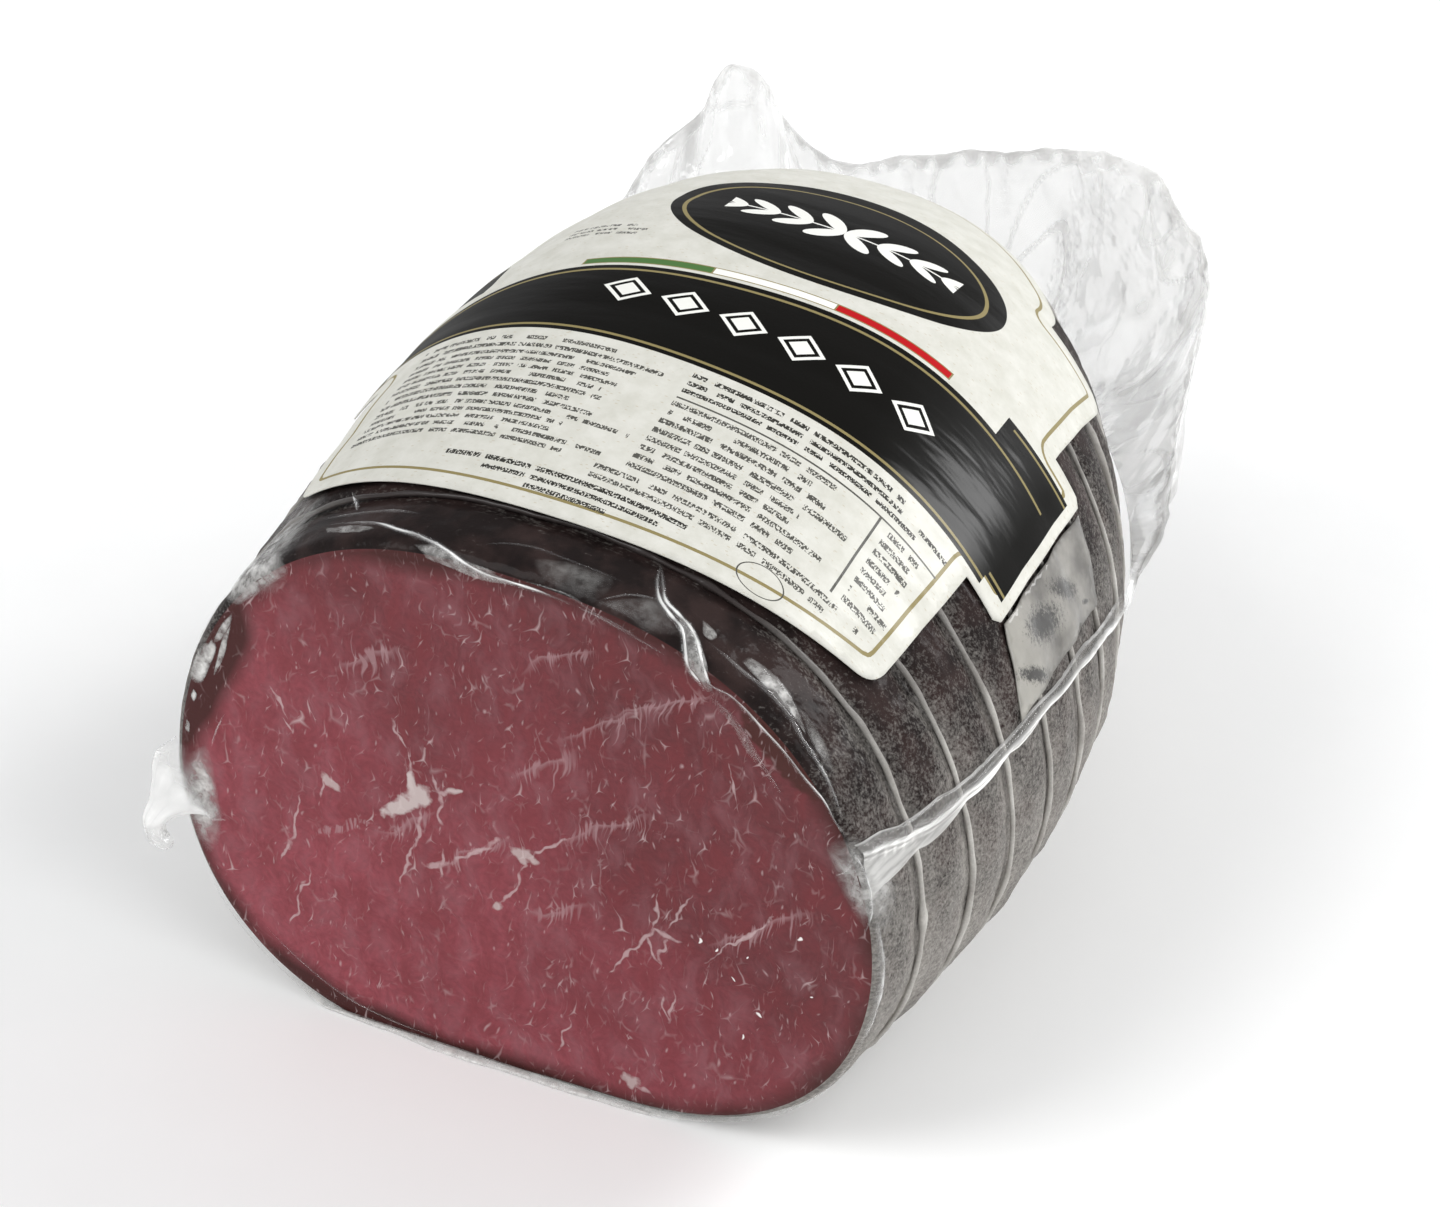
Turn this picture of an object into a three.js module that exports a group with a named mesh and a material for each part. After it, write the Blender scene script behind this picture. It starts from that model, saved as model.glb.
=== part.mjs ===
// Half a bresaola in its shrunk vacuum pouch, lying on its flat underside with the cut face to the front.
// Millimetres, +Z up. The body runs along Y. It is drawn with the cut face at Y = 0, and the group is then moved
// so that the origin is the point restPoint of the flat underside.
// Nodes: the meat in its casing, a row of string hoops, the die-cut paper label, a small paper tag, and the
// parts of the film that stand free of the meat (both side seams, the crumpled tail and a little front ear).

import * as THREE from 'three';
import { mergeVertices } from 'three/addons/utils/BufferGeometryUtils.js';
import { TessellateModifier } from 'three/addons/modifiers/TessellateModifier.js';

// Meat
const bodyLength = 184;
const outlineMean = 59.5; // mean radius of the cut face
const outlineWaves = [[-1, -1.6], [7.4, 0.6], [0.6, -1.9], [-1.3, 0]]; // cosine and sine parts, 1 to 4 to a turn
const outlineShiftX = -1.2;
const axisHeight = 50;
const sideSwell = 0.11; // how much wider the body is at its middle than at the cut
const backSwell = 0.2; // the same for the height above the axis
const sidePeak = 0.5; // where along the body each swelling is greatest
const backPeak = 0.52;
const sideEnd = { fullness: 3.2, power: 0.55 }; // how the body rounds off at the far end
const backEnd = { fullness: 4.2, power: 0.5 };
const bellyEnd = { fullness: 7, power: 0.5 };
const endDrift = -15; // the far end lies a little to the left
const restPoint = [-15, 81.5, 0]; // on the underside, between two hoops
const turnSteps = 40; // facets round the body and round each hoop
const cutRim = [[0, -1.2], [1, -0.2], [5, 0.2]]; // place and offset of the first rings, rounding the cut's edge
const endRings = [0.94, 0.968, 0.986, 0.996]; // last rings, as shares of the length

// String hoops
const hoopCount = 11;
const firstHoop = 14;
const hoopPitch = 15;
const stringRadius = 0.95;
const grooveDepth = 1.6;
const grooveHalfWidth = 1.4;
const shoulderHalfWidth = 3.2;
const crestRise = 0.5;
const gap = 0.35;
const hoopOffset = stringRadius + gap - grooveDepth; // string centre, from the smooth outline
const lowestStringCentre = stringRadius + 0.2;
const grooveFloor = lowestStringCentre + stringRadius + gap;

// Paper label and tag
const paperThickness = 0.6;
const paperOffset = hoopOffset + stringRadius + 0.5;
const curvePoints = 6; // points on each rounded stretch of the label's outline
const paperStep = 11; // longest edge of a facet of bent paper
const paperSplits = 30; // enough halvings for every facet to come under that
const labelCentre = 1.5; // arc from the top line of the body to the label's centre line
const label = {
  frontHalf: 58, frontMiddle: 13.2, frontCorner: 19.8, frontRadius: 5,
  sideHalf: 60.5, tabHalf: 70.5, tabStart: 52.5, tabEnd: 94,
  shoulderHalf: 61.5, shoulderEnd: 130, shoulderRadius: 5, domeHalf: 44, domeHeight: 27,
};
const tag = { near: 73, far: 88, start: 55, end: 92, slant: 5 };

// Film
const filmThickness = 1.6;
const filmOffset = 1.7; // the film's root, outside the strings
const filmFront = 2; // where the seams begin, behind the cut
const seamReach = 4.5;
const rightSeamAngles = [13, 0]; // degrees above the axis, at the front and at the far end
const leftSeamAngles = [191, 180];
const rightSeamTurns = [0, 0.05, 0.11]; // places in the turn round the body of the points of the free edge
const leftSeamTurns = [0.87, 0.93];
const tailTurns = [0.17, 0.81];
const earTurns = [0.98, 1];
const tailEdge = [ // free edge of the tail, from its broad right ear to its pointed left one
  [60, 122, 58], [52, 146, 65], [49, 164, 75], [42, 174, 87], [33, 180, 94], [14, 186, 90], [-6, 190, 85],
  [-24, 192, 77], [-38, 190, 72], [-49, 188, 82], [-56, 187, 91], [-62, 180, 84], [-68, 168, 74], [-72, 146, 58],
];
const frontEar = [[-71, 9, 43], [-75, 3, 38], [-74, 0, 29]];
const knee = { outward: 0.75, upward: 0.2 }; // where the film turns up, as shares of its reach and its rise
const filmSteps = 72;
const filmRows = 5;

const small = 1e-3; // a short step for slopes, as a share
const radians = THREE.MathUtils.degToRad;

function outlineRadius(angle) {
  let radius = outlineMean;
  outlineWaves.forEach(([cosine, sine], index) => {
    const turns = index + 1;
    radius += cosine * Math.cos(turns * angle) + sine * Math.sin(turns * angle);
  });
  return radius;
}

// A swelling along the body: 0 at both ends and 1 at the peak.
function swelling(share, peak) {
  return Math.sin(Math.PI * share ** (Math.log(0.5) / Math.log(peak)));
}

function roundedEnd(share, end) {
  return Math.max(0, 1 - share ** end.fullness) ** end.power;
}

// A point on the smooth body, `offset` outside it, at a distance along it and an angle round it.
function bodyPoint(along, angle, offset = 0, lowest = 0) {
  const share = THREE.MathUtils.clamp(along / bodyLength, 0, 1);
  const side = (1 + sideSwell * swelling(share, sidePeak)) * roundedEnd(share, sideEnd);
  const back = (1 + backSwell * swelling(share, backPeak)) * roundedEnd(share, backEnd);
  const belly = roundedEnd(share, bellyEnd);
  const radius = outlineRadius(angle);
  const up = radius * Math.sin(angle);
  const x = radius * Math.cos(angle) * side;
  const z = up > 0 ? up * back : up * belly;
  const stretch = 1 + offset / Math.max(0.01, Math.hypot(x, z));
  return new THREE.Vector3(
    x * stretch + outlineShiftX + endDrift * share * share,
    along,
    Math.max(lowest, axisHeight + z * stretch),
  );
}

// A point on the body found by the arc from its top line, positive to the right.
function arcPoint(along, arc, offset) {
  const turn = arc >= 0 ? -1 : 1;
  const step = radians(0.5);
  let angle = Math.PI / 2;
  let here = bodyPoint(along, angle);
  let left = Math.abs(arc);
  while (left > 0) {
    const next = bodyPoint(along, angle + turn * step);
    const length = next.distanceTo(here);
    const share = Math.min(1, left / length);
    angle += turn * step * share;
    left -= length;
    here = next;
  }
  return bodyPoint(along, angle, offset);
}

// The geometry with its vertices joined, after `place` has moved each of them.
function reshaped(geometry, place) {
  geometry.deleteAttribute('normal');
  geometry.deleteAttribute('uv');
  const spots = geometry.getAttribute('position');
  const spot = new THREE.Vector3();
  for (let index = 0; index < spots.count; index += 1) {
    spot.fromBufferAttribute(spots, index);
    const placed = place(spot);
    spots.setXYZ(index, placed.x, placed.y, placed.z);
  }
  const joined = mergeVertices(geometry, 1e-4);
  joined.computeVertexNormals();
  return joined;
}

function namedMesh(name, geometry, color, roughness) {
  const material = new THREE.MeshStandardMaterial({ color, roughness, metalness: 0 });
  const mesh = new THREE.Mesh(geometry, material);
  mesh.name = name;
  return mesh;
}

function hoopPlace(index) {
  return firstHoop + hoopPitch * index;
}

// Rings of the meat from the cut to the far end. A groove is cut straight down to the hoop's own outline.
function meatRows() {
  const rows = cutRim.map(([along, offset]) => ({ along, shape: along, offset, lowest: 0 }));
  for (let index = 0; index < hoopCount; index += 1) {
    const middle = hoopPlace(index);
    const ring = (shift, offset, shape, lowest) => {
      rows.push({ along: middle + shift, shape, offset, lowest });
    };
    ring(-shoulderHalfWidth, 0, middle - shoulderHalfWidth, 0);
    ring(-grooveHalfWidth, -grooveDepth, middle, grooveFloor);
    ring(grooveHalfWidth, -grooveDepth, middle, grooveFloor);
    ring(shoulderHalfWidth, 0, middle + shoulderHalfWidth, 0);
    if (index < hoopCount - 1) {
      ring(hoopPitch / 2, crestRise, middle + hoopPitch / 2, 0);
    }
  }
  for (const share of endRings) {
    const along = share * bodyLength;
    rows.push({ along, shape: along, offset: 0, lowest: 0 });
  }
  return rows;
}

// The meat in its casing: a closed cylinder whose rings take the outline of the body.
function meat() {
  const rows = meatRows();
  const geometry = new THREE.CylinderGeometry(1, 1, 1, turnSteps, rows.length - 1);
  return reshaped(geometry, (spot) => {
    const row = rows[Math.round((0.5 - spot.y) * (rows.length - 1))];
    const fromAxis = Math.hypot(spot.x, spot.z);
    const rim = bodyPoint(row.shape, Math.atan2(-spot.z, spot.x), row.offset, row.lowest);
    rim.y = row.along;
    if (fromAxis > 0.5) return rim;
    return new THREE.Vector3(outlineShiftX + endDrift * (row.along / bodyLength) ** 2, row.along, axisHeight);
  });
}

// One hoop of string, lying in its groove and lifted clear of the surface below.
function hoop(index) {
  const middle = hoopPlace(index);
  const ringRadius = 10;
  const geometry = new THREE.TorusGeometry(ringRadius, stringRadius, 4, turnSteps);
  return reshaped(geometry, (spot) => {
    const outward = Math.hypot(spot.x, spot.y) - ringRadius;
    const angle = Math.atan2(spot.y, spot.x);
    const placed = bodyPoint(middle, angle, hoopOffset + outward, lowestStringCentre + outward);
    placed.y = middle - spot.z;
    return placed;
  });
}

// The right half of the label's outline, from the middle of its front edge round to the top of its dome. Across
// the label is x, along the body is y.
function labelHalf() {
  const { frontHalf, frontCorner, frontRadius, shoulderHalf, shoulderEnd, shoulderRadius } = label;
  const half = new THREE.Path();
  half.moveTo(0, label.frontMiddle);
  half.quadraticCurveTo(frontHalf / 2, label.frontMiddle, frontHalf - frontRadius, frontCorner - 1);
  half.quadraticCurveTo(frontHalf, frontCorner, frontHalf, frontCorner + frontRadius);
  half.lineTo(label.sideHalf, label.tabStart);
  half.lineTo(label.tabHalf, label.tabStart);
  half.lineTo(label.tabHalf, label.tabEnd);
  half.lineTo(shoulderHalf, label.tabEnd);
  half.lineTo(shoulderHalf, shoulderEnd - shoulderRadius);
  half.quadraticCurveTo(shoulderHalf, shoulderEnd, shoulderHalf - shoulderRadius, shoulderEnd);
  half.lineTo(label.domeHalf, shoulderEnd);
  half.absellipse(0, shoulderEnd, label.domeHalf, label.domeHeight, 0, Math.PI / 2, false, 0);
  return half.getPoints(curvePoints);
}

function labelShape() {
  const right = labelHalf();
  const left = right.slice(1, -1).reverse().map((point) => new THREE.Vector2(-point.x, point.y));
  return new THREE.Shape([...right, ...left]);
}

function tagShape() {
  const shape = new THREE.Shape();
  shape.moveTo(tag.near, tag.start);
  shape.lineTo(tag.far, tag.start - tag.slant);
  shape.lineTo(tag.far, tag.end - tag.slant);
  shape.lineTo(tag.near, tag.end);
  return shape;
}

// Flat paper bent round the body: x is the arc from the top line, y runs along the body, z is the height.
function bentPaper(shape, arcShift) {
  const flat = new THREE.ExtrudeGeometry(shape, { depth: paperThickness, bevelEnabled: false });
  const fine = new TessellateModifier(paperStep, paperSplits).modify(flat);
  return reshaped(fine, (spot) => arcPoint(spot.y, spot.x + arcShift, paperOffset + spot.z));
}

// The seam's line on the meat, along both sides and round the far end. `turn` runs from 0 at the front of the
// right side, over 0.5 at the far end, to 1 at the front of the left side.
function seamLine(turn) {
  const sweep = Math.PI * THREE.MathUtils.clamp(turn, 0, 1);
  const rounding = Math.abs(Math.sin(sweep)) ** (2 / sideEnd.fullness);
  const along = filmFront + (bodyLength - filmFront) * rounding;
  const [front, far] = turn < 0.5 ? rightSeamAngles : leftSeamAngles;
  return bodyPoint(along, radians(THREE.MathUtils.lerp(front, far, along / bodyLength)));
}

// The film's root stands a little outside that line.
function filmRoot(turn) {
  const run = seamLine(turn + small).sub(seamLine(turn - small));
  const outward = new THREE.Vector3(run.y, -run.x, 0).normalize();
  return seamLine(turn).addScaledVector(outward, filmOffset);
}

// Points of the film's free edge and the turn that each stands at: a narrow seam along each side, an ear at the
// left of the front, and round the far end the tail with a broad ear on the right and a pointed one on the left.
function filmStations() {
  const onSeam = (turn) => {
    const free = filmRoot(turn);
    free.x += turn < 0.5 ? seamReach : -seamReach;
    return { turn, free };
  };
  const spread = (points, [first, last]) => points.map(([x, y, z], index) => ({
    turn: THREE.MathUtils.lerp(first, last, index / (points.length - 1)),
    free: new THREE.Vector3(x, y, z),
  }));
  return [
    ...rightSeamTurns.map(onSeam),
    ...spread(tailEdge, tailTurns),
    ...leftSeamTurns.map(onSeam),
    ...spread(frontEar, earTurns),
  ];
}

// The middle of the film at a share of its way round (0 to 1) and a height from root (0) to free edge (1). It
// leaves the meat outward and then turns up.
function filmMiddle(stations, edge, round, height) {
  const place = round * (stations.length - 1);
  const before = Math.min(Math.floor(place), stations.length - 2);
  const turn = THREE.MathUtils.lerp(stations[before].turn, stations[before + 1].turn, place - before);
  const root = filmRoot(turn);
  const free = edge.getPoint(round);
  const bend = root.clone().lerp(free, knee.outward);
  bend.z = THREE.MathUtils.lerp(root.z, free.z, knee.upward);
  return new THREE.QuadraticBezierCurve3(root, bend, free).getPoint(height);
}

function film() {
  const stations = filmStations();
  const edge = new THREE.CatmullRomCurve3(stations.map((station) => station.free), false, 'centripetal');
  const middle = (round, height) => filmMiddle(stations, edge, round, height);
  const geometry = new THREE.BoxGeometry(1, 1, 1, filmSteps, filmRows, 1);
  return reshaped(geometry, (spot) => {
    const round = THREE.MathUtils.clamp(spot.x + 0.5, small, 1 - small);
    const height = THREE.MathUtils.clamp(spot.y + 0.5, small, 1 - small);
    const along = middle(round + small, height).sub(middle(round - small, height));
    const up = middle(round, height + small).sub(middle(round, height - small));
    const normal = along.cross(up).normalize();
    return middle(round, height).addScaledVector(normal, filmThickness * spot.z);
  });
}

const bresaola = new THREE.Group();
bresaola.add(namedMesh('bresaola', meat(), 0x6a3335, 0.6));
for (let index = 0; index < hoopCount; index += 1) {
  const name = `tie_${String(index + 1).padStart(2, '0')}`;
  bresaola.add(namedMesh(name, hoop(index), 0xb3b0aa, 0.8));
}
bresaola.add(namedMesh('paper_label', bentPaper(labelShape(), labelCentre), 0xe5e4dc, 0.7));
bresaola.add(namedMesh('small_tag', bentPaper(tagShape(), 0), 0xc9c6be, 0.7));
bresaola.add(namedMesh('film', film(), 0xe4e6e6, 0.2));
bresaola.position.set(...restPoint).negate();

export default bresaola;
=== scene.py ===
import math

import bpy
import numpy as np
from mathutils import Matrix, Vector, geometry, noise


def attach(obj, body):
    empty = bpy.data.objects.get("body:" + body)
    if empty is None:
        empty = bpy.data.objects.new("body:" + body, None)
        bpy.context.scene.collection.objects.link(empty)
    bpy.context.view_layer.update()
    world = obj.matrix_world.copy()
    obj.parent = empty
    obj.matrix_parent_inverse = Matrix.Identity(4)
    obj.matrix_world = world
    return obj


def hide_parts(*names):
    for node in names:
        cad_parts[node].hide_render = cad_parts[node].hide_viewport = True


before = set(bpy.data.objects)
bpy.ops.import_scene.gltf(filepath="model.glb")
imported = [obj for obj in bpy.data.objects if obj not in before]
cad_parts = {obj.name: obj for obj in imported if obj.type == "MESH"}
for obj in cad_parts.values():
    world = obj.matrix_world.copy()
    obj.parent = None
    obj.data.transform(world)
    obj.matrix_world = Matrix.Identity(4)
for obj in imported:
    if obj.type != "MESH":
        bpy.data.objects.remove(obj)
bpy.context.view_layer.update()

# Studio: a matt off-white paper sweep, a large softbox over the front left, a fill from the right and a tall
# one behind on the right, whose reflection is the soft patch on the label's dark end. The room is bright
# near the horizon, as a sweep is, and dimmer above.


def linear(hex_colour):
    """An sRGB colour such as #8f464e as linear red, green, blue and alpha."""
    parts = [int(hex_colour[place:place + 2], 16) / 255 for place in (1, 3, 5)]
    return [part / 12.92 if part <= 0.04045 else ((part + 0.055) / 1.055) ** 2.4 for part in parts] + [1.0]


def add(kind, inputs=(), **settings):
    """Adds one shader node with its settings to the tree that is being made. Each input, by its name or its
    place, is set to a value or linked to another node."""
    made = tree.nodes.new("ShaderNode" + kind)
    for name, value in settings.items():
        setattr(made, name, value)
    for key, value in dict(inputs).items():
        socket = made.inputs[key] if isinstance(key, int) else next(
            one for one in made.inputs if one.name == key and one.enabled)
        if isinstance(value, bpy.types.Node):
            value = next(one for one in value.outputs if one.enabled)
        if isinstance(value, bpy.types.NodeSocket):
            tree.links.new(value, socket)
        else:
            socket.default_value = value
    return made


def new_material(name):
    """A material of that name with an empty node tree, and that tree."""
    material = bpy.data.materials.new(name)
    material.use_nodes = True
    material.node_tree.nodes.clear()
    return material, material.node_tree


def surface(shader):
    """Makes that shader the surface of the material whose tree is being made."""
    add("OutputMaterial", {"Surface": shader})


def painted(base, hex_colour, share):
    """The base colour with another over it, as strong as the share from 0 to 1."""
    return add("Mix", {"Factor": share, "A": base, "B": linear(hex_colour)}, data_type="RGBA")


def new_piece(name, points, faces, materials):
    """A smooth mesh object from points in metres, with its materials."""
    mesh = bpy.data.meshes.new(name)
    mesh.from_pydata([tuple(point) for point in points], [], [tuple(face) for face in faces])
    mesh.update()
    mesh.polygons.foreach_set("use_smooth", [True] * len(mesh.polygons))
    piece = bpy.data.objects.new(name, mesh)
    bpy.context.scene.collection.objects.link(piece)
    for material in materials:
        mesh.materials.append(material)
    return piece


sweep_paper, tree = new_material("paper_sweep_matt")
grain_and_painted_glint = add("TexNoise", {"Scale": 900.0, "Detail": 3.0})
tone = painted(linear("#fbfbfa"), "#fefefd", grain_and_painted_glint)
surface(add("BsdfPrincipled", {"Base Color": tone, "Roughness": 0.9, "Specular IOR Level": 0.1}))
floor_reach = 6
floor_corners = [(x * floor_reach, y * floor_reach, 0) for x, y in ((-1, -1), (1, -1), (1, 1), (-1, 1))]
floor = new_piece("paper_sweep", floor_corners, [(0, 1, 2, 3)], [sweep_paper])

world = bpy.data.worlds.new("studio_room")
bpy.context.scene.world = world
world.use_nodes = True
tree = world.node_tree
tree.nodes.clear()
height = add("SeparateXYZ", {0: add("TexCoord").outputs["Generated"]})
glow = add("MapRange", {"Value": height.outputs["Z"], "From Min": 0.1, "From Max": 0.45, "To Min": 1.08,
                        "To Max": 0.46})
room = add("Background", {"Color": linear("#fbfcff"), "Strength": glow})
add("OutputWorld", {"Surface": room})

# Each softbox faces the middle of the object. It has a place and two sides in metres, and a power in watts.
object_middle = Vector((0.015, -0.01, 0.05))
for name, place, sides, power in (("softbox_front_left", (-1.3, -1.7, 2.2), (1.6, 1.6), 42),
                                  ("softbox_right", (2.3, -0.9, 1.2), (1.2, 1.2), 19),
                                  ("softbox_back_right", (1.35, 1.6, 1.25), (0.7, 1.5), 34)):
    lamp = bpy.data.lights.new(name, "AREA")
    lamp.shape = "RECTANGLE"
    lamp.size, lamp.size_y = sides
    lamp.energy = power
    lamp_object = bpy.data.objects.new(name, lamp)
    lamp_object.location = place
    lamp_object.rotation_mode = "QUATERNION"
    lamp_object.rotation_quaternion = (object_middle - Vector(place)).to_track_quat("-Z", "Y")
    bpy.context.scene.collection.objects.link(lamp_object)

# The camera stands 30 degrees to the right of straight ahead and looks 36 degrees down. It is then turned a
# little right and up, so that the object lies left of the middle and low in the picture.
camera_ahead = Vector((-0.4045, 0.7006, -0.5878))
camera_right = Vector((0.866, 0.5, 0))
camera_up = Vector((-0.2939, 0.509, 0.809))
camera = bpy.data.cameras.new("camera")
camera.sensor_width = 36
camera.lens = 140
camera_object = bpy.data.objects.new("camera", camera)
camera_object.location = (0.3871, -0.7261, 0.5928)
look = camera_ahead + 0.0357 * camera_right + 0.0387 * camera_up
camera_object.rotation_mode = "QUATERNION"
camera_object.rotation_quaternion = look.to_track_quat("-Z", "Y")
scene = bpy.context.scene
scene.collection.objects.link(camera_object)
scene.camera = camera_object
scene.view_settings.view_transform = "Standard"
scene.cycles.max_bounces = 5
scene.cycles.diffuse_bounces = 2
scene.cycles.glossy_bounces = 3
scene.cycles.transparent_max_bounces = 16

# Meat: half a bresaola, air-dried beef in its dried casing, sawn across. The cut face shows dark red lean
# with fine branching fat, the casing is nearly black above and grey with dried mould on the sides. The film
# shrunk onto it is the clear coat of both materials. Sizes are in mm, and the middle of the cut face, the
# hub, is at y = 0 until rest_shift moves the piece to its place on the table.
body_length = 184
outline_mean = 59.5
outline_waves = [(-1, -1.6), (7.4, 0.6), (0.6, -1.9), (-1.3, 0)]
side_fullness = 3.2
axis_height = 50
hub = np.array([-1.2, 0.0, axis_height])
rear_bend = 15
rest_shift = np.array([15, -81.5, 0])
hoop_pitch = 15
hoop_places = [14 + hoop_pitch * index for index in range(11)]
groove_depth = 0.9
groove_reach = 3.4
crest_rise = 0.5
rim_rounding = 1.3
rim_width = 2.2


def outline_radius(angle):
    """The radius of the cut's outline at an angle round it, from a mean and four waves (cosine, sine)."""
    radius = outline_mean
    for turns, (cosine, sine) in enumerate(outline_waves, 1):
        radius = radius + cosine * np.cos(turns * angle) + sine * np.sin(turns * angle)
    return radius


def swelling(share, peak):
    """A bulge along the body: 0 at both ends and 1 at its peak."""
    return np.sin(np.pi * share ** (math.log(0.5) / math.log(peak)))


def rounded_end(share, fullness, power):
    """The part of the full width that is left as the body closes to its far end."""
    return np.maximum(0, 1 - share ** fullness) ** power


def middle_line(share):
    """How far to the right the middle of the body is: it bends to the left towards the far end."""
    return hub[0] - rear_bend * share * share


def body_point(along, angle, offset=0.0, lowest=0.0):
    """Points on the body, so far along from the cut and at an angle round it, at an offset outside it."""
    share = np.clip(along / body_length, 0, 1)
    side = (1 + 0.11 * swelling(share, 0.5)) * rounded_end(share, side_fullness, 0.55)
    back = (1 + 0.2 * swelling(share, 0.52)) * rounded_end(share, 4.2, 0.5)
    belly = rounded_end(share, 7, 0.5)
    radius = outline_radius(angle)
    up = radius * np.sin(angle)
    x = radius * np.cos(angle) * side
    z = np.where(up > 0, up * back, up * belly)
    stretch = 1 + offset / np.maximum(0.01, np.hypot(x, z))
    parts = (x * stretch + middle_line(share), along, np.maximum(lowest, axis_height + z * stretch))
    return np.stack(np.broadcast_arrays(*parts), axis=-1)


def metres(points):
    """Points in mm as metres, with the origin under the middle of the body."""
    return (np.asarray(points) + rest_shift) / 1000


def roughness_at(points, size, seed, octaves=3):
    """Fractal noise of about -1 to 1 at each point, for lumps of that size in mm."""
    shift = Vector((seed * 17.3, seed * 5.1, seed * 9.7))
    return np.array([noise.fractal(Vector(point) / size + shift, 1.0, 2.0, octaves) for point in points])


def casing_lumps(points):
    """How far the dried casing stands out at each point, in large soft lumps with small ones on them."""
    return 0.55 * roughness_at(points, 13, 1) + 0.16 * roughness_at(points, 2.6, 2)


def rounded_rim(along):
    """How far the casing is rounded in at the cut's edge."""
    return rim_rounding * max(0, 1 - along / rim_width) ** 2.4


def hoop_wander(angle, index):
    """How far along the body a hoop strays from straight."""
    return 0.35 * np.sin(2 * angle + index * 2.1) + 0.25 * np.sin(5 * angle + index)


def from_nearest_hoop(along):
    """How far each place along the body is from the nearest hoop."""
    return np.min([np.abs(along - place) for place in hoop_places], axis=0)


def grid_faces(rows, columns, first=0, closed=True):
    """Quads of a grid of points, joined round on itself where it is closed."""
    faces = []
    for row in range(rows - 1):
        for column in range(columns if closed else columns - 1):
            here = first + row * columns + column
            beside = first + row * columns + (column + 1) % columns
            faces.append((here, here + columns, beside + columns, beside))
    return faces


columns = 288
around = np.linspace(0, 2 * np.pi, columns, endpoint=False)
casing_rows = [0, 0.25, 0.7, 1.3, 2.1] + list(np.arange(3, 166, 0.85))
last_ring = math.sqrt(1 - (casing_rows[-1] / body_length) ** side_fullness)
casing_rows += [body_length * (1 - (last_ring * left) ** 2) ** (1 / side_fullness)
                for left in np.linspace(1, 0, 34)[1:]]
casing_points = []
for along in casing_rows:
    nearest = min(range(len(hoop_places)), key=lambda index: abs(hoop_places[index] - along))
    from_hoop = np.abs(along - hoop_places[nearest] - hoop_wander(around, nearest))
    dip = np.clip(1 - (from_hoop / groove_reach) ** 2, 0, 1) ** 2
    crest = np.clip(from_hoop / (hoop_pitch / 2), 0, 1) ** 2
    offset = crest_rise * crest - groove_depth * dip - rounded_rim(along)
    casing_points.append(body_point(along, around, offset, groove_depth * dip))
casing_points = np.concatenate(casing_points)
casing_along = casing_points[:, 1]
end_fade = np.clip((body_length - casing_along) / 12, 0, 1) * np.clip(casing_along / 4, 0, 1)
axis_heights = np.full(len(casing_points), float(axis_height))
centre_line = np.stack([middle_line(casing_along / body_length), casing_along, axis_heights], axis=1)
outward = casing_points - centre_line
outward /= np.maximum(1e-3, np.linalg.norm(outward, axis=1))[:, None]
casing_points += outward * (casing_lumps(casing_points) * end_fade)[:, None]
casing_points[:, 2] = np.maximum(0, casing_points[:, 2])

# The cut face is rings that shrink from the casing's first ring to the hub, flat but for slight bumps.
face_rings = 74
ring_shares = [ring / face_rings for ring in range(face_rings, 0, -1)]
first_ring = casing_points[:columns]
face_points = []
for share in ring_shares[1:]:
    ring = hub + (first_ring - hub) * share
    ring[:, 1] = 0
    face_points.append(ring)
face_points = np.concatenate(face_points + [hub[None, :]])
face_points[:, 1] -= 0.2 * roughness_at(face_points, 16, 3) + 0.05 * roughness_at(face_points, 3, 4)
rim_fade = np.clip(np.linalg.norm(face_points - hub, axis=1) / 55, 0, 1) ** 12
face_points[:, 1] = face_points[:, 1] * (1 - rim_fade)

casing_faces = grid_faces(len(casing_rows), columns)
ring_order = np.arange(columns)
face_faces = []
rings = [ring_order] + [len(casing_points) + columns * ring + ring_order for ring in range(face_rings - 1)]
for outer, inner in zip(rings, rings[1:]):
    for column in range(columns):
        following = (column + 1) % columns
        face_faces.append((outer[column], outer[following], inner[following], inner[column]))
hub_index = len(casing_points) + len(face_points) - 1
for column in range(columns):
    face_faces.append((rings[-1][column], rings[-1][(column + 1) % columns], hub_index))


def set_attribute(piece, name, values):
    """One number for each point of a piece, for its material to read."""
    attribute = piece.data.attributes.new(name, "FLOAT", "POINT")
    attribute.data.foreach_set("value", np.asarray(values, dtype=np.float32))


def place_in_mm():
    """Where each point of the object is, in mm, so that patterns have their real sizes."""
    object_place = add("TexCoord").outputs["Object"]
    return add("VectorMath", {0: object_place, 1: (1000, 1000, 1000)}, operation="MULTIPLY")


# Cut beef: lean muscle with fine branching threads of fat, moist under the film, so it shines softly and its
# colour is deep, a little paler to the lower left. Its patterns are in mm across and up the cut, and bent a
# little.
cut_beef, tree = new_material("cured_beef_cut_face")
place_mm = place_in_mm()
parts = add("SeparateXYZ", {0: place_mm})
flat = add("CombineXYZ", {0: parts.outputs["X"], 1: parts.outputs["Z"], 2: 1.0})
bend_noise = add("TexNoise", {"Vector": flat, "Scale": 1 / 7, "Detail": 1.5}, noise_dimensions="2D")
bend = add("VectorMath", {0: bend_noise.outputs["Color"], 1: (0.5, 0.5, 0.5)}, operation="SUBTRACT")
bent = add("VectorMath", {0: bend, 1: (4, 4, 0), 2: flat}, operation="MULTIPLY_ADD")


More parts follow.
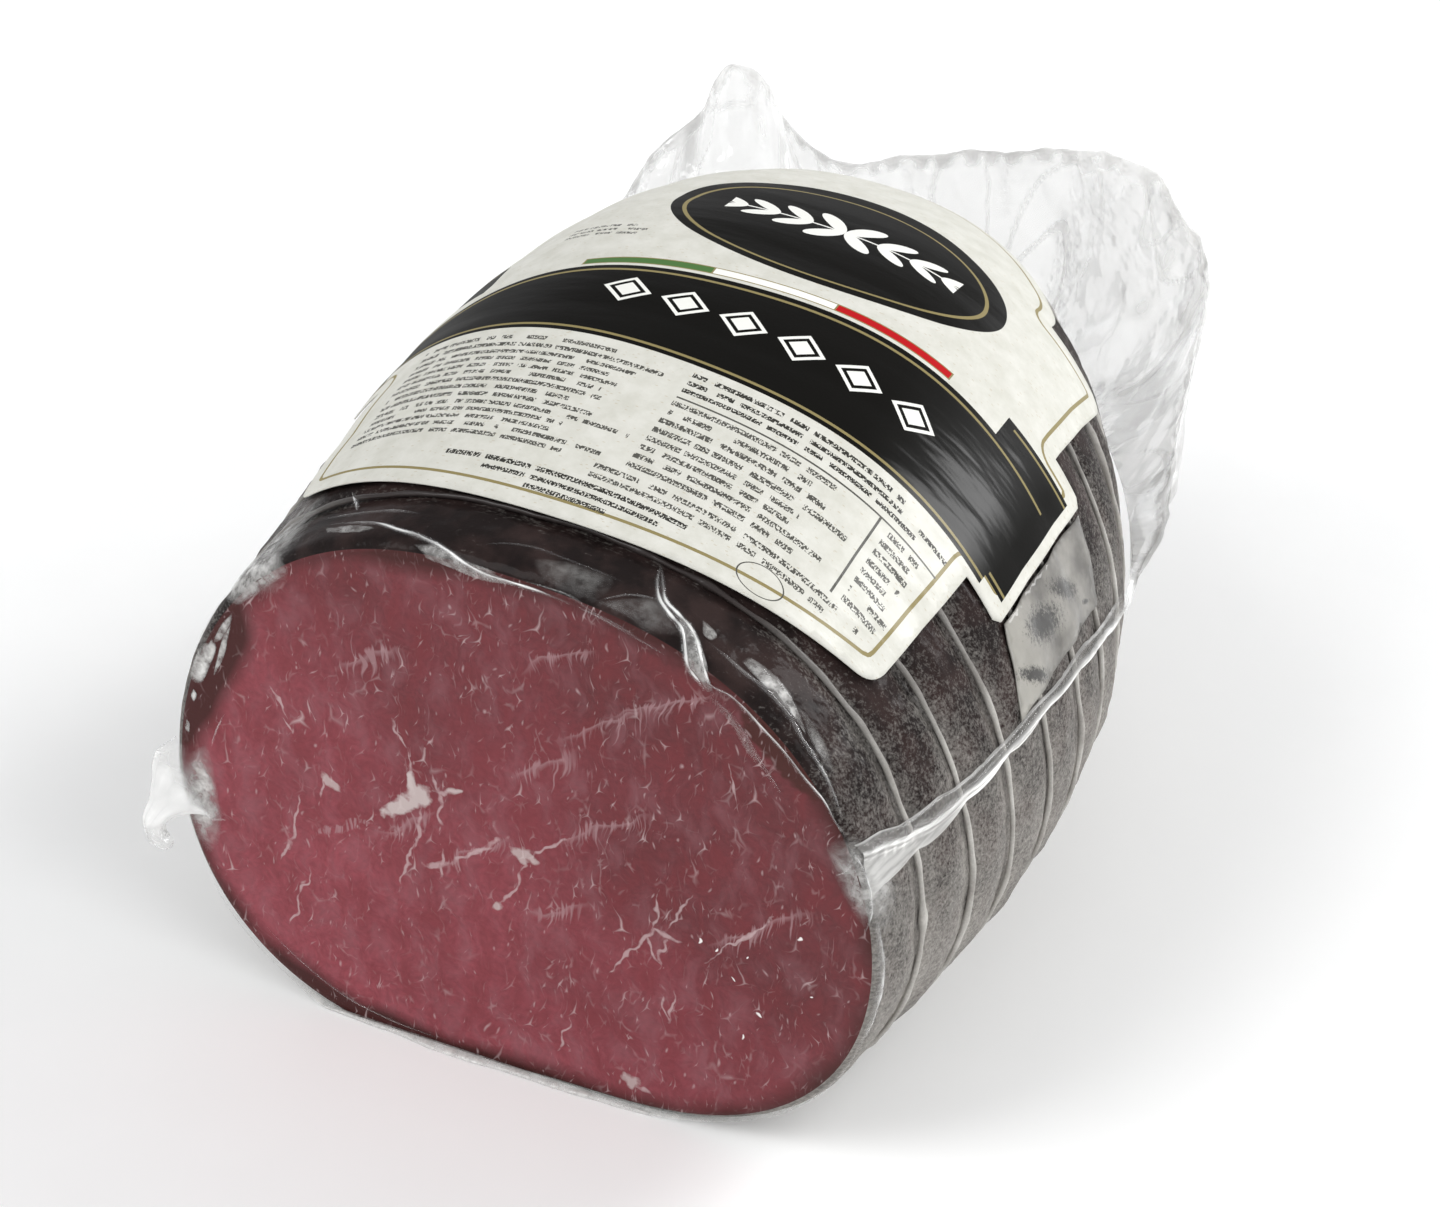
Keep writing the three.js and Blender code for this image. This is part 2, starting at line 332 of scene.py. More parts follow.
def fat_threads(cell, half_width, reach, turn, shift, softness):
    """Threads of fat that meet in threes: the part of a network of cells of that size in mm that is near its
    corners, widest there and running out to nothing."""
    spot = add("Mapping", {"Vector": bent, "Location": (shift, shift * 0.7, 0), "Rotation": (0, 0, turn),
                           "Scale": (1 / cell, 0.55 / cell, 1)})
    edge = add("TexVoronoi", {"Vector": spot, "Scale": 1.0}, voronoi_dimensions="2D",
               feature="DISTANCE_TO_EDGE")
    centre = add("TexVoronoi", {"Vector": spot, "Scale": 1.0}, voronoi_dimensions="2D", feature="F1")
    vary = add("TexNoise", {"Vector": flat, "Scale": 1 / (cell * 0.8), "Detail": 1.0},
               noise_dimensions="2D")
    limit = add("MapRange", {"Value": vary, "From Min": 0.3, "From Max": 0.7, "To Min": reach + 0.16,
                             "To Max": reach - 0.14})
    beyond = add("Math", {0: centre.outputs["Distance"], 1: limit}, operation="SUBTRACT")
    width = add("Math", {0: beyond, 1: half_width / cell / 0.12}, operation="MULTIPLY")
    inside = add("Math", {0: width, 1: edge.outputs["Distance"]}, operation="SUBTRACT")
    return add("MapRange", {"Value": inside, "From Min": 0.0, "From Max": softness * half_width / cell})


def brighter(one, other):
    """The greater of two masks."""
    return add("Math", {0: one, 1: other}, operation="MAXIMUM", use_clamp=True)


def times(one, other):
    """A mask only as strong as both allow, or weakened by a number."""
    return add("Math", {0: one, 1: other}, operation="MULTIPLY", use_clamp=True)


fine_threads = fat_threads(cell=5.0, half_width=0.17, reach=0.64, turn=-0.2, shift=11, softness=3.6)
hair_threads = fat_threads(cell=3.0, half_width=0.14, reach=0.62, turn=0.35, shift=23, softness=3.8)
faint_threads = fat_threads(cell=2.2, half_width=0.12, reach=0.58, turn=0.1, shift=41, softness=3.0)
threads = brighter(times(hair_threads, 0.5), times(faint_threads, 0.34))
threads = brighter(times(fine_threads, 0.5), threads)
gaps = add("TexNoise", {"Vector": flat, "Scale": 1 / 2.8, "Detail": 1.0}, noise_dimensions="2D")
threads = times(threads, add("MapRange", {"Value": gaps, "From Min": 0.4, "From Max": 0.56}))
crowded = add("TexNoise", {"Vector": flat, "Scale": 1 / 13, "Detail": 2.0}, noise_dimensions="2D")
threads = times(threads, add("MapRange", {"Value": crowded, "From Min": 0.38, "From Max": 0.58,
                                          "To Min": 0.25, "To Max": 1.0}))


def sprigs_of_fat(cell, shift, share, arms):
    """Sprigs of fat, one in a share of the cells of that size in mm: a knot with arms that run out thin. An
    arm is a turn in radians from upright, a length and a half width in mm."""
    spot = add("Mapping", {"Vector": bent, "Location": (shift, shift * 0.7, 0),
                           "Scale": (1 / cell, 1 / cell, 1)})
    cells = add("TexVoronoi", {"Vector": spot, "Scale": 1.0, "Randomness": 0.9}, voronoi_dimensions="2D")
    draws = add("SeparateColor", {0: cells.outputs["Color"]})
    offset = add("VectorMath", {0: spot, 1: cells.outputs["Position"]}, operation="SUBTRACT")
    smaller = add("MapRange", {"Value": draws.outputs[1], "To Min": 2.1 * cell, "To Max": 0.9 * cell})
    from_knot = add("VectorMath", {0: offset, "Scale": smaller}, operation="SCALE")
    sprig = 0.0
    for index, (turn, length, half_width) in enumerate(arms):
        lean_angle = add("Math", {0: draws.outputs[index % 2], 1: 0.9, 2: turn - 0.45},
                         operation="MULTIPLY_ADD")
        turned = add("VectorRotate", {"Vector": from_knot, "Angle": lean_angle}, rotation_type="Z_AXIS")
        sides = add("SeparateXYZ", {0: turned})
        left = add("MapRange", {"Value": sides.outputs["Y"], "From Min": length, "From Max": 0.0})
        taper = add("Math", {0: left, 1: 1.4}, operation="POWER")
        start = add("MapRange", {"Value": sides.outputs["Y"], "From Min": -1.2 * half_width,
                                 "From Max": 0.0, "To Max": half_width})
        width = add("Math", {0: taper, 1: start}, operation="MULTIPLY")
        off = add("Math", {0: sides.outputs["X"]}, operation="ABSOLUTE")
        inside = add("Math", {0: width, 1: off}, operation="SUBTRACT")
        sprig = brighter(sprig, add("MapRange", {"Value": inside, "From Max": 0.9 * half_width}))
    return times(sprig, add("MapRange", {"Value": draws.outputs[2], "From Min": share,
                                         "From Max": share * 0.5}))


# Sprigs of three sizes, the smaller ones fainter.
sprigs = sprigs_of_fat(11.0, 5.0, 0.9, ((0.15, 5.6, 0.44), (-2.55, 3.3, 0.4), (2.2, 1.8, 0.36)))
small_sprigs = sprigs_of_fat(6.8, 19.0, 0.85, ((0.1, 3.6, 0.34), (-2.7, 2.3, 0.34), (1.9, 1.3, 0.3)))
sprigs = brighter(sprigs, times(small_sprigs, 0.85))
smallest_sprigs = sprigs_of_fat(3.9, 31.0, 0.6, ((0.2, 1.9, 0.25), (-2.8, 1.3, 0.25)))
sprigs = brighter(sprigs, times(smallest_sprigs, 0.66))
sprigs = times(sprigs, add("MapRange", {"Value": crowded, "From Min": 0.36, "From Max": 0.56,
                                        "To Min": 0.45, "To Max": 1.0}))
threads = brighter(threads, sprigs)

# Short flecks of fat, longer than wide and standing nearly upright.
fleck_place = add("Mapping", {"Vector": bent, "Rotation": (0, 0, 0.25), "Scale": (1 / 1.9, 1 / 4.6, 1)})
fleck_cells = add("TexVoronoi", {"Vector": fleck_place, "Scale": 1.0}, voronoi_dimensions="2D")
fleck_size = add("SeparateColor", {0: fleck_cells.outputs["Color"]})
fleck_limit = add("MapRange", {"Value": fleck_size.outputs[0], "From Min": 0.62, "From Max": 1.0,
                               "To Min": 0.0, "To Max": 0.16})
fleck_inside = add("Math", {0: fleck_limit, 1: fleck_cells.outputs["Distance"]}, operation="SUBTRACT")
flecks = add("MapRange", {"Value": fleck_inside, "From Min": 0.0, "From Max": 0.13, "To Max": 0.7})
threads = brighter(threads, flecks)

# Larger spots and strokes of fat with wavy, torn edges. A spot is a place (x, z) in mm from the middle of
# the underside, a half length, a half width, a turn and how ragged it is. A stroke runs from one place to
# another.
torn = add("TexNoise", {"Vector": flat, "Scale": 1 / 1.6, "Detail": 2.0}, noise_dimensions="2D")
sway_noise = add("TexNoise", {"Vector": flat, "Scale": 1 / 3.4, "Detail": 1.0}, noise_dimensions="2D")
sway = add("VectorMath", {0: sway_noise.outputs["Color"], 1: (0.5, 0.5, 0.5)}, operation="SUBTRACT")
wavy = add("VectorMath", {0: sway, 1: (2.4, 2.4, 0), 2: flat}, operation="MULTIPLY_ADD")


def measured(place, x, z, turn, unit=1.0):
    """How far each point lies beyond (x, z) in the direction of a turn, in units of so many mm."""
    side, up = math.cos(turn) / unit, math.sin(turn) / unit
    return add("VectorMath", {0: place, 1: (side, up, -x * side - z * up)},
               operation="DOT_PRODUCT").outputs["Value"]


def ragged_patch(x, z, half_length, half_width, turn, ragged, core=0.3):
    """How far inside one patch each point is: 1 from its core inwards, 0 at a ragged edge."""
    along = measured(wavy, x, z, turn, half_length)
    across = measured(wavy, x, z, turn + math.pi / 2, half_width)
    out = add("Math", {0: along, 1: along}, operation="MULTIPLY")
    out = add("Math", {0: across, 1: across, 2: out}, operation="MULTIPLY_ADD")
    edge = add("Math", {0: torn, 1: 1.6 * ragged, 2: out}, operation="MULTIPLY_ADD")
    return add("MapRange", {"Value": edge, "From Min": 1.0 + 0.8 * ragged, "From Max": core + 0.8 * ragged})


bright_spots = [(-8.4, 48.2, 6.8, 1.9, 0.65, 1.0), (-5.6, 50.8, 3.5, 2.4, 0.6, 0.9),
                (-6.7, 52.6, 3.6, 1.1, 1.6, 0.6)]
pale_spots = [(-22.3, 48.0, 2.4, 1.1, -0.7, 1.0), (14.2, 46.0, 3.2, 1.5, -0.35, 1.1),
              (1.2, 54.2, 1.9, 0.9, 0.3, 0.8), (33.9, 5.6, 2.2, 1.2, 0.1, 1.0),
              (9.2, 33.4, 1.6, 0.9, 0.8, 0.9)]
spots = 0.0
for spot in bright_spots:
    spots = brighter(spots, ragged_patch(*spot))
for spot in pale_spots:
    spots = brighter(spots, times(ragged_patch(*spot), 0.74))
strokes = 0.0
for x, z, far_x, far_z, half_width in (
        (-7.3, 51.0, -6.8, 57.8, 0.6), (-2.5, 52.7, 3.2, 55.0, 0.5), (-1.3, 55.0, -1.1, 45.2, 0.42),
        (-2.9, 56.7, -1.3, 52.7, 0.36), (-5.4, 49.2, -6.2, 40.0, 0.38), (-6.2, 41.4, -9.7, 29.8, 0.36),
        (-28.5, 44.6, -30.9, 32.2, 0.34), (-30.4, 34.4, -33.3, 28.4, 0.38), (-10.1, 64.6, -7.1, 60.1, 0.3),
        (-7.2, 61.2, -6.7, 54.3, 0.26), (-33.5, 64.2, -30.2, 58.5, 0.34), (-31.6, 58.0, -29.2, 56.2, 0.34),
        (-26.7, 29.4, -29.6, 21.6, 0.3), (-29.1, 23.0, -32.1, 14.8, 0.32), (-23.4, 48.6, -24.8, 43.8, 0.34),
        (15.4, 45.2, 23.6, 52.7, 0.36), (16.2, 45.9, 9.4, 33.0, 0.4), (-5.6, 37.2, 0.7, 39.3, 0.6),
        (-0.2, 38.4, 11.2, 48.6, 0.5), (-1.2, 41.4, -1.2, 35.0, 0.44), (35.1, 34.0, 39.2, 38.9, 0.52),
        (38.0, 38.7, 44.1, 37.8, 0.52), (37.6, 36.8, 39.6, 31.2, 0.36), (39.3, 31.4, 41.1, 38.0, 0.34),
        (39.6, 46.6, 38.2, 37.8, 0.3), (39.5, 26.2, 41.3, 20.0, 0.34), (41.0, 20.2, 42.8, 27.4, 0.32),
        (45.8, 48.6, 41.0, 38.6, 0.28), (62.4, 50.2, 47.2, 34.8, 0.26), (38.8, 39.4, 29.0, 24.6, 0.28),
        (23.1, 15.6, 19.9, 6.6, 0.3), (35.4, 5.4, 38.2, 3.6, 0.4), (52.0, 76.4, 54.2, 67.8, 0.26)):
    half_length = math.hypot(far_x - x, far_z - z) / 2
    turn = math.atan2(far_z - z, far_x - x)
    middle = (x + far_x) / 2, (z + far_z) / 2
    stroke = ragged_patch(*middle, half_length, half_width, turn, ragged=1.1, core=0.1)
    strokes = brighter(strokes, stroke)
threads = brighter(threads, times(strokes, 0.85))

# Seams between the bundles of muscle: a thin pale line with hairs of fat hanging from it. Each is a place, a
# half length and a turn.
hair_place = add("Mapping", {"Vector": bent, "Rotation": (0, 0, 0.08), "Scale": (1 / 0.6, 1 / 9, 1)})
hairs = add("TexNoise", {"Vector": hair_place, "Scale": 1.0, "Detail": 1.0}, noise_dimensions="2D")


def seam_of_fat(x, z, half_length, turn):
    """How strong the line or a hair is, by a seam about the place (x, z) in mm."""
    across = measured(bent, x, z, turn + math.pi / 2)
    along = add("Math", {0: measured(bent, x, z, turn)}, operation="ABSOLUTE")
    ends = add("MapRange", {"Value": along, "From Min": half_length + 1, "From Max": half_length * 0.5})
    below = add("MapRange", {"Value": across, "From Min": -3.8, "From Max": 0.0})
    above = add("MapRange", {"Value": across, "From Min": 1.4, "From Max": 0.0})
    near = add("Math", {0: below, 1: above}, operation="MINIMUM")
    line = add("MapRange", {"Value": near, "From Min": 0.82, "From Max": 1.0, "To Max": 0.8})
    reach = add("Math", {0: near, 1: 0.36, 2: hairs}, operation="MULTIPLY_ADD")
    hanging = add("MapRange", {"Value": reach, "From Min": 0.77, "From Max": 0.95})
    return times(brighter(line, hanging), ends)


seams = 0.0
for spot in ((-13.5, 76.3, 7.3, 0.55), (18.0, 65.0, 7.0, 0.62), (22.0, 87.2, 8.1, 0.6),
             (30.5, 77.0, 11.0, 0.61), (30.0, 56.4, 10.5, 0.6), (4.4, 42.8, 8.0, 0.69),
             (-8.5, 44.6, 6.5, 0.62), (40.0, 84.0, 12.0, 0.57), (58.0, 46.0, 12.0, 0.6),
             (20.5, 36.8, 6.0, 0.5)):
    seams = brighter(seams, seam_of_fat(*spot))
ticks = add("MapRange", {"Value": hairs, "From Min": 0.42, "From Max": 0.56})
seams = brighter(seams, times(ragged_patch(-20.8, 39.4, 7.0, 1.0, 0.53, ragged=1.2), ticks))
seam_haze = times(seams, 0.5)

# The lean is darker to the upper right, with fine fibres in it.
broad = add("TexNoise", {"Vector": flat, "Scale": 1 / 26, "Detail": 2.0}, noise_dimensions="2D")
slope = add("VectorMath", {0: flat, 1: (0.006, 0.0075, 0)}, operation="DOT_PRODUCT")
depth_tone = add("Math", {0: broad, 1: 0.7, 2: slope.outputs["Value"]}, operation="MULTIPLY_ADD")
lean_tone = add("MapRange", {"Value": depth_tone, "From Min": 0.3, "From Max": 1.15})
lean = painted(linear("#893f48"), "#5d272b", lean_tone)
fibre = add("TexNoise", {"Vector": bent, "Scale": 1 / 1.1, "Detail": 4.0, "Roughness": 0.65},
            noise_dimensions="2D")
fibre_tone = add("MapRange", {"Value": fibre, "From Min": 0.3, "From Max": 0.7, "To Min": 0.86,
                              "To Max": 1.14})
lean = add("VectorMath", {0: lean, 1: fibre_tone}, operation="MULTIPLY")

# Bundles of muscle: some a clearer red, some veiled with mauve where air lies under the film.
bundle_place = add("Mapping", {"Vector": bent, "Rotation": (0, 0, 0.3), "Scale": (1 / 4.5, 1 / 9, 1)})
bundles = add("TexNoise", {"Vector": bundle_place, "Scale": 1.0, "Detail": 3.0}, noise_dimensions="2D")
reddest = add("MapRange", {"Value": bundles, "From Min": 0.5, "From Max": 0.3, "To Max": 0.4})
lean = painted(lean, "#6f262b", reddest)
veiled = add("MapRange", {"Value": bundles, "From Min": 0.5, "From Max": 0.76, "To Max": 0.24})
lean = painted(lean, "#8f666c", veiled)

# The rind: dried dark and brown along the rim. A dark wedge is laid on at the upper right.
rim_depth = add("Attribute", attribute_name="rim_depth").outputs["Fac"]
rim_wave = add("Math", {0: broad, 1: 9.0, 2: rim_depth}, operation="MULTIPLY_ADD")
rim = add("MapRange", {"Value": rim_wave, "From Min": 8.2, "From Max": 4.2})
lean = painted(lean, "#3c110f", rim)
wedge = times(ragged_patch(61.7, 82.0, 10.8, 3.5, -0.776, ragged=0.4, core=0.55), 0.92)
lean = painted(lean, "#3c140c", wedge)

# The fat over it all: hazy seams, then threads, then the whiter spots.
haze = painted(lean, "#a98a8d", seam_haze)
fat = painted(haze, "#c4aeae", times(threads, 0.66))
fat = painted(fat, "#c2b6b3", times(spots, 0.82))

# A few painted highlights at the lower right: small bright specks that stand for glints of the film over the
# lean.
for x, z in ((47.3, 39.5), (50.3, 39.2), (55.8, 38.9), (53.1, 33.6), (57.8, 28.0), (67.6, 35.6),
             (65.5, 46.5), (54.8, 22.7)):
    grain_and_painted_glint = ragged_patch(x, z, half_length=0.5, half_width=0.24, turn=x * 0.7, ragged=0.2)
    fat = painted(fat, "#e8e2df", grain_and_painted_glint)
film_waves = add("TexNoise", {"Vector": place_mm, "Scale": 1 / 14, "Detail": 2.0})
film_relief = add("Bump", {"Height": film_waves, "Strength": 0.35, "Distance": 0.002})
fibre_relief = add("Bump", {"Height": fibre, "Strength": 0.25, "Distance": 0.0003})
surface(add("BsdfPrincipled", {
    "Base Color": fat, "Roughness": 0.55, "Specular IOR Level": 0.15, "Normal": fibre_relief,
    "Coat Weight": 0.3, "Coat Roughness": 0.14, "Coat IOR": 1.45, "Coat Normal": film_relief}))

# Dried casing: collagen skin dried to near black, with a grey bloom of dried mould that is thickest low on
# the sides and beside the strings, so it looks dusty there and glossy where the film lies tight on it.
dry_casing, tree = new_material("dried_casing_with_bloom")
place_mm = place_in_mm()
parts = add("SeparateXYZ", {0: place_mm})
bloom_cloud = add("TexNoise", {"Vector": place_mm, "Scale": 1 / 9, "Detail": 4.0})
bloom_grain = add("TexNoise", {"Vector": place_mm, "Scale": 1 / 1.0, "Detail": 6.0, "Roughness": 0.76})
wipe_size = (1 / 4, 1 / 0.45, 1 / 0.45)
wipe_place = add("Mapping", {"Vector": place_mm, "Rotation": (0.5, 0.2, 0.5), "Scale": wipe_size})
wiped = add("TexNoise", {"Vector": wipe_place, "Scale": 1.0, "Detail": 3.0, "Roughness": 0.6})
low = add("MapRange", {"Value": parts.outputs["Z"], "From Min": 98.0, "From Max": 36.0, "To Min": -0.24,
                       "To Max": 0.55})
from_string = add("Attribute", attribute_name="from_string").outputs["Fac"]
beside = add("MapRange", {"Value": from_string, "From Min": 0.8, "From Max": 4.5, "To Min": 0.22,
                          "To Max": 0.0})
bloom = add("Math", {0: bloom_cloud, 1: 0.5, 2: low}, operation="MULTIPLY_ADD")
bloom = add("Math", {0: bloom, 1: beside}, operation="ADD")
bloom = add("Math", {0: bloom_grain, 1: 1.25, 2: bloom}, operation="MULTIPLY_ADD")
bloom = add("Math", {0: wiped, 1: 0.9, 2: bloom}, operation="MULTIPLY_ADD")
bloom_amount = add("MapRange", {"Value": bloom, "From Min": 1.34, "From Max": 2.22, "To Max": 0.9})
stain = add("TexNoise", {"Vector": place_mm, "Scale": 1 / 8, "Detail": 4.0})
stain_tone = add("MapRange", {"Value": stain, "From Min": 0.42, "From Max": 0.62})
skin = painted(linear("#1c1514"), "#322624", stain_tone)
colour = painted(skin, "#a8a49e", bloom_amount)
relief = add("Bump", {"Height": bloom_grain, "Strength": 0.5, "Distance": 0.0006})
film_waves = add("TexNoise", {"Vector": place_mm, "Scale": 1 / 6, "Detail": 3.0})
film_relief = add("Bump", {"Height": film_waves, "Strength": 0.4, "Distance": 0.0015})
surface(add("BsdfPrincipled", {
    "Base Color": colour, "Roughness": 0.7, "Specular IOR Level": 0.06, "Normal": relief,
    "Coat Weight": 0.13, "Coat Roughness": 0.16, "Coat IOR": 1.42, "Coat Normal": film_relief}))

meat = new_piece("meat_in_casing", metres(np.concatenate([casing_points, face_points])),
                 casing_faces + face_faces, [dry_casing, cut_beef])
material_order = [0] * len(casing_faces) + [1] * len(face_faces)
meat.data.polygons.foreach_set("material_index", material_order)
far_from_string = np.full(len(face_points), 9.0)
set_attribute(meat, "from_string", np.concatenate([from_nearest_hoop(casing_points[:, 1]),
                                                   far_from_string]))

# The dark rind is widest at the upper left, along the lower left and at the upper right, where the meat
# counts as less deep. Each place is an angle and a half width in degrees, a strength, and a power for how
# sudden it is.
wide_rind = 0
for angle, half_width, strength, power in ((167, 13, 1, 4), (236, 22, 0.45, 2), (34, 9, 0.3, 2),
                                           (120, 15, 0.3, 2), (85, 20, 0.12, 2)):
    wide_rind = wide_rind + strength * np.exp(-((np.degrees(around) - angle) / half_width) ** power)
hub_depth = 59.0
rind_extra = 6.0
face_depth = [hub_depth * (1 - share) - rind_extra * wide_rind * share ** 4 for share in ring_shares[1:]]
rim_depth = np.concatenate([np.zeros(len(casing_points))] + face_depth + [[hub_depth]])
set_attribute(meat, "rim_depth", rim_depth)
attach(meat, "root")
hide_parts("bresaola")

# String: eleven hoops of twisted cotton butcher's string, tied tight before drying, so each lies sunk in its
# own groove and shows about 1 mm wide. Dried mould and the tight film make it pale grey and a little shiny.
string_radius = 0.52
string_centre = -0.12
string_steps = 640
string_sides = 8
string_plies = 3
string_twists = 30
cotton_string, tree = new_material("cotton_string_twisted")
place_mm = place_in_mm()
fibres = add("TexNoise", {"Vector": place_mm, "Scale": 1 / 0.6, "Detail": 4.0, "Roughness": 0.7})
soil = add("TexNoise", {"Vector": place_mm, "Scale": 1 / 9, "Detail": 3.0})
soil_tone = add("MapRange", {"Value": soil, "From Min": 0.35, "From Max": 0.65})
cotton = painted(linear("#98948e"), "#bebbb5", soil_tone)
height_mm = add("SeparateXYZ", {0: place_mm}).outputs["Z"]
stained = add("MapRange", {"Value": height_mm, "From Min": 66.0, "From Max": 98.0})
cotton = painted(cotton, "#2b2321", stained)
fibre_tone = add("MapRange", {"Value": fibres, "From Min": 0.3, "From Max": 0.7, "To Min": 0.84,
                              "To Max": 1.1})
cotton = add("VectorMath", {0: cotton, 1: fibre_tone}, operation="MULTIPLY")
relief = add("Bump", {"Height": fibres, "Strength": 0.5, "Distance": 0.0002})
surface(add("BsdfPrincipled", {
    "Base Color": cotton, "Roughness": 0.75, "Specular IOR Level": 0.3, "Normal": relief,
    "Coat Weight": 0.5, "Coat Roughness": 0.2, "Coat IOR": 1.45}))
string_turn = np.linspace(0, 2 * np.pi, string_steps, endpoint=False)
string_side = np.linspace(0, 2 * np.pi, string_sides, endpoint=False)


def noise_round(reach, seed):
    """Noise at each step round a hoop, that meets itself: finer with more reach."""
    ring = [Vector((math.cos(turn) * reach, math.sin(turn) * reach, seed)) for turn in string_turn]
    return np.array([noise.noise(point) for point in ring])


for index, place in enumerate(hoop_places):
    rows = []
    lumps = noise_round(9, index * 3.7)
    kinks = noise_round(5, index * 2.3)
    thickness = 1 + 0.4 * lumps + 1.2 * np.maximum(0, lumps - 0.4)
    for side in string_side:
        ply = 1 + 0.05 * np.cos(string_plies * (side - string_turn * string_twists))
        reach = string_radius * thickness * ply
        rise = reach * math.sin(side)
        shift = hoop_wander(string_turn, index) + 0.6 * kinks + 0.35 * lumps + reach * math.cos(side)
        points = body_point(np.full(string_steps, float(place)), string_turn, string_centre + rise,
                            string_radius + 0.3 + rise)
        points[:, 1] += shift
        rows.append(points)
    points = np.stack(rows, axis=1).reshape(-1, 3)
    last = string_sides * (string_steps - 1)
    joining_faces = [(last + side, side, (side + 1) % string_sides, last + (side + 1) % string_sides)
                     for side in range(string_sides)]
    faces = grid_faces(string_steps, string_sides) + joining_faces
    tie = new_piece(f"string_{index + 1:02d}", metres(points), faces, [cotton_string])
    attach(tie, "root")
    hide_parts(f"tie_{index + 1:02d}")

# Label: one die-cut sheet of uncoated cream paper about a quarter of a millimetre thick, bent round the body
# over the strings. Its print is a folded black ribbon, a three-colour bar, a black oval, a table and fine
# rows of small print, here all plain shapes and ornaments. The film over it gives it a soft shine. Places on
# it are in mm: across from the top line of the body, to the right, and along from the cut.
label_centre = 1.5
paper_top = 1.45
paper_thickness = 0.25
paper_step = 1.3


def curve_through(points, steps):
    """Points along a quadratic curve from the first to the last, bent towards the middle one."""
    start, bend, end = (np.array(point, dtype=float) for point in points)
    share = np.linspace(0, 1, steps + 1)[1:, None]
    return list((1 - share) ** 2 * start + 2 * share * (1 - share) * bend + share ** 2 * end)


def label_outline():
    """The outline as dense points (across, along), from the middle of the front edge all the way round."""
    half = [np.array([0, 13.2])]
    half += curve_through([(0, 13.2), (29, 13.2), (53, 18.8)], 40)
    half += curve_through([(53, 18.8), (58, 19.8), (58, 24.8)], 8)
    for end in ((60.5, 52.5), (69.0, 52.5), (70.5, 54.0), (70.5, 92.5), (69.0, 94), (61.5, 94),
                (61.5, 125)):
        start = half[-1]
        end = np.array(end, dtype=float)
        count = max(1, int(np.linalg.norm(end - start)))
        half += [start + (end - start) * step / count for step in range(1, count + 1)]
    half += curve_through([(61.5, 125), (61.5, 130), (56.5, 130)], 8)
    half += [np.array([56.5 - 12.5 * step / 10, 130]) for step in range(1, 11)]
    round_end = np.linspace(0, np.pi / 2, 60)[1:]
    half += [np.array([44 * math.cos(turn), 130 + 27 * math.sin(turn)]) for turn in round_end]
    other = [np.array([-point[0], point[1]]) for point in half[-2:0:-1]]
    return np.array(half + other)


def inside_outline(points, outline):
    """Whether each point is inside the closed outline."""
    crossings = np.zeros(len(points), dtype=int)
    for start, end in zip(outline, np.roll(outline, -1, axis=0)):
        if start[1] == end[1]:
            continue
        spans = (points[:, 1] < start[1]) != (points[:, 1] < end[1])
        where = start[0] + (points[:, 1] - start[1]) * (end[0] - start[0]) / (end[1] - start[1])
        crossings += spans & (points[:, 0] < where)
    return crossings % 2 == 1


def distance_to_outline(points, outline):
    """How far each point is from the closed outline."""
    nearest = np.full(len(points), 1e9)
    for start, end in zip(outline, np.roll(outline, -1, axis=0)):
        run = end - start
        share = np.clip((points - start) @ run / max(1e-9, run @ run), 0, 1)
        nearest = np.minimum(nearest, np.linalg.norm(points - start - share[:, None] * run, axis=1))
    return nearest


# How long the way round the body is from its top line, to the right and to the left, for every mm along it.
way_turns = np.linspace(0, 2.6, 521)
way_lengths = []
for direction in (-1, 1):
    paths = [body_point(float(along), np.pi / 2 + direction * way_turns) for along in range(body_length)]
    steps = np.linalg.norm(np.diff(np.array(paths), axis=1), axis=2)
    way_lengths.append(np.concatenate([np.zeros((body_length, 1)), np.cumsum(steps, axis=1)], axis=1))


def turn_at(along, arc):
    """The angle round the body at an arc in mm from its top line, positive to the right."""
    gone = way_lengths[0] if arc >= 0 else way_lengths[1]
    row = min(int(along), body_length - 2)
    near, far = (np.interp(abs(arc), gone[place], way_turns) for place in (row, row + 1))
    return np.pi / 2 - math.copysign(near + (far - near) * (along - row), arc)


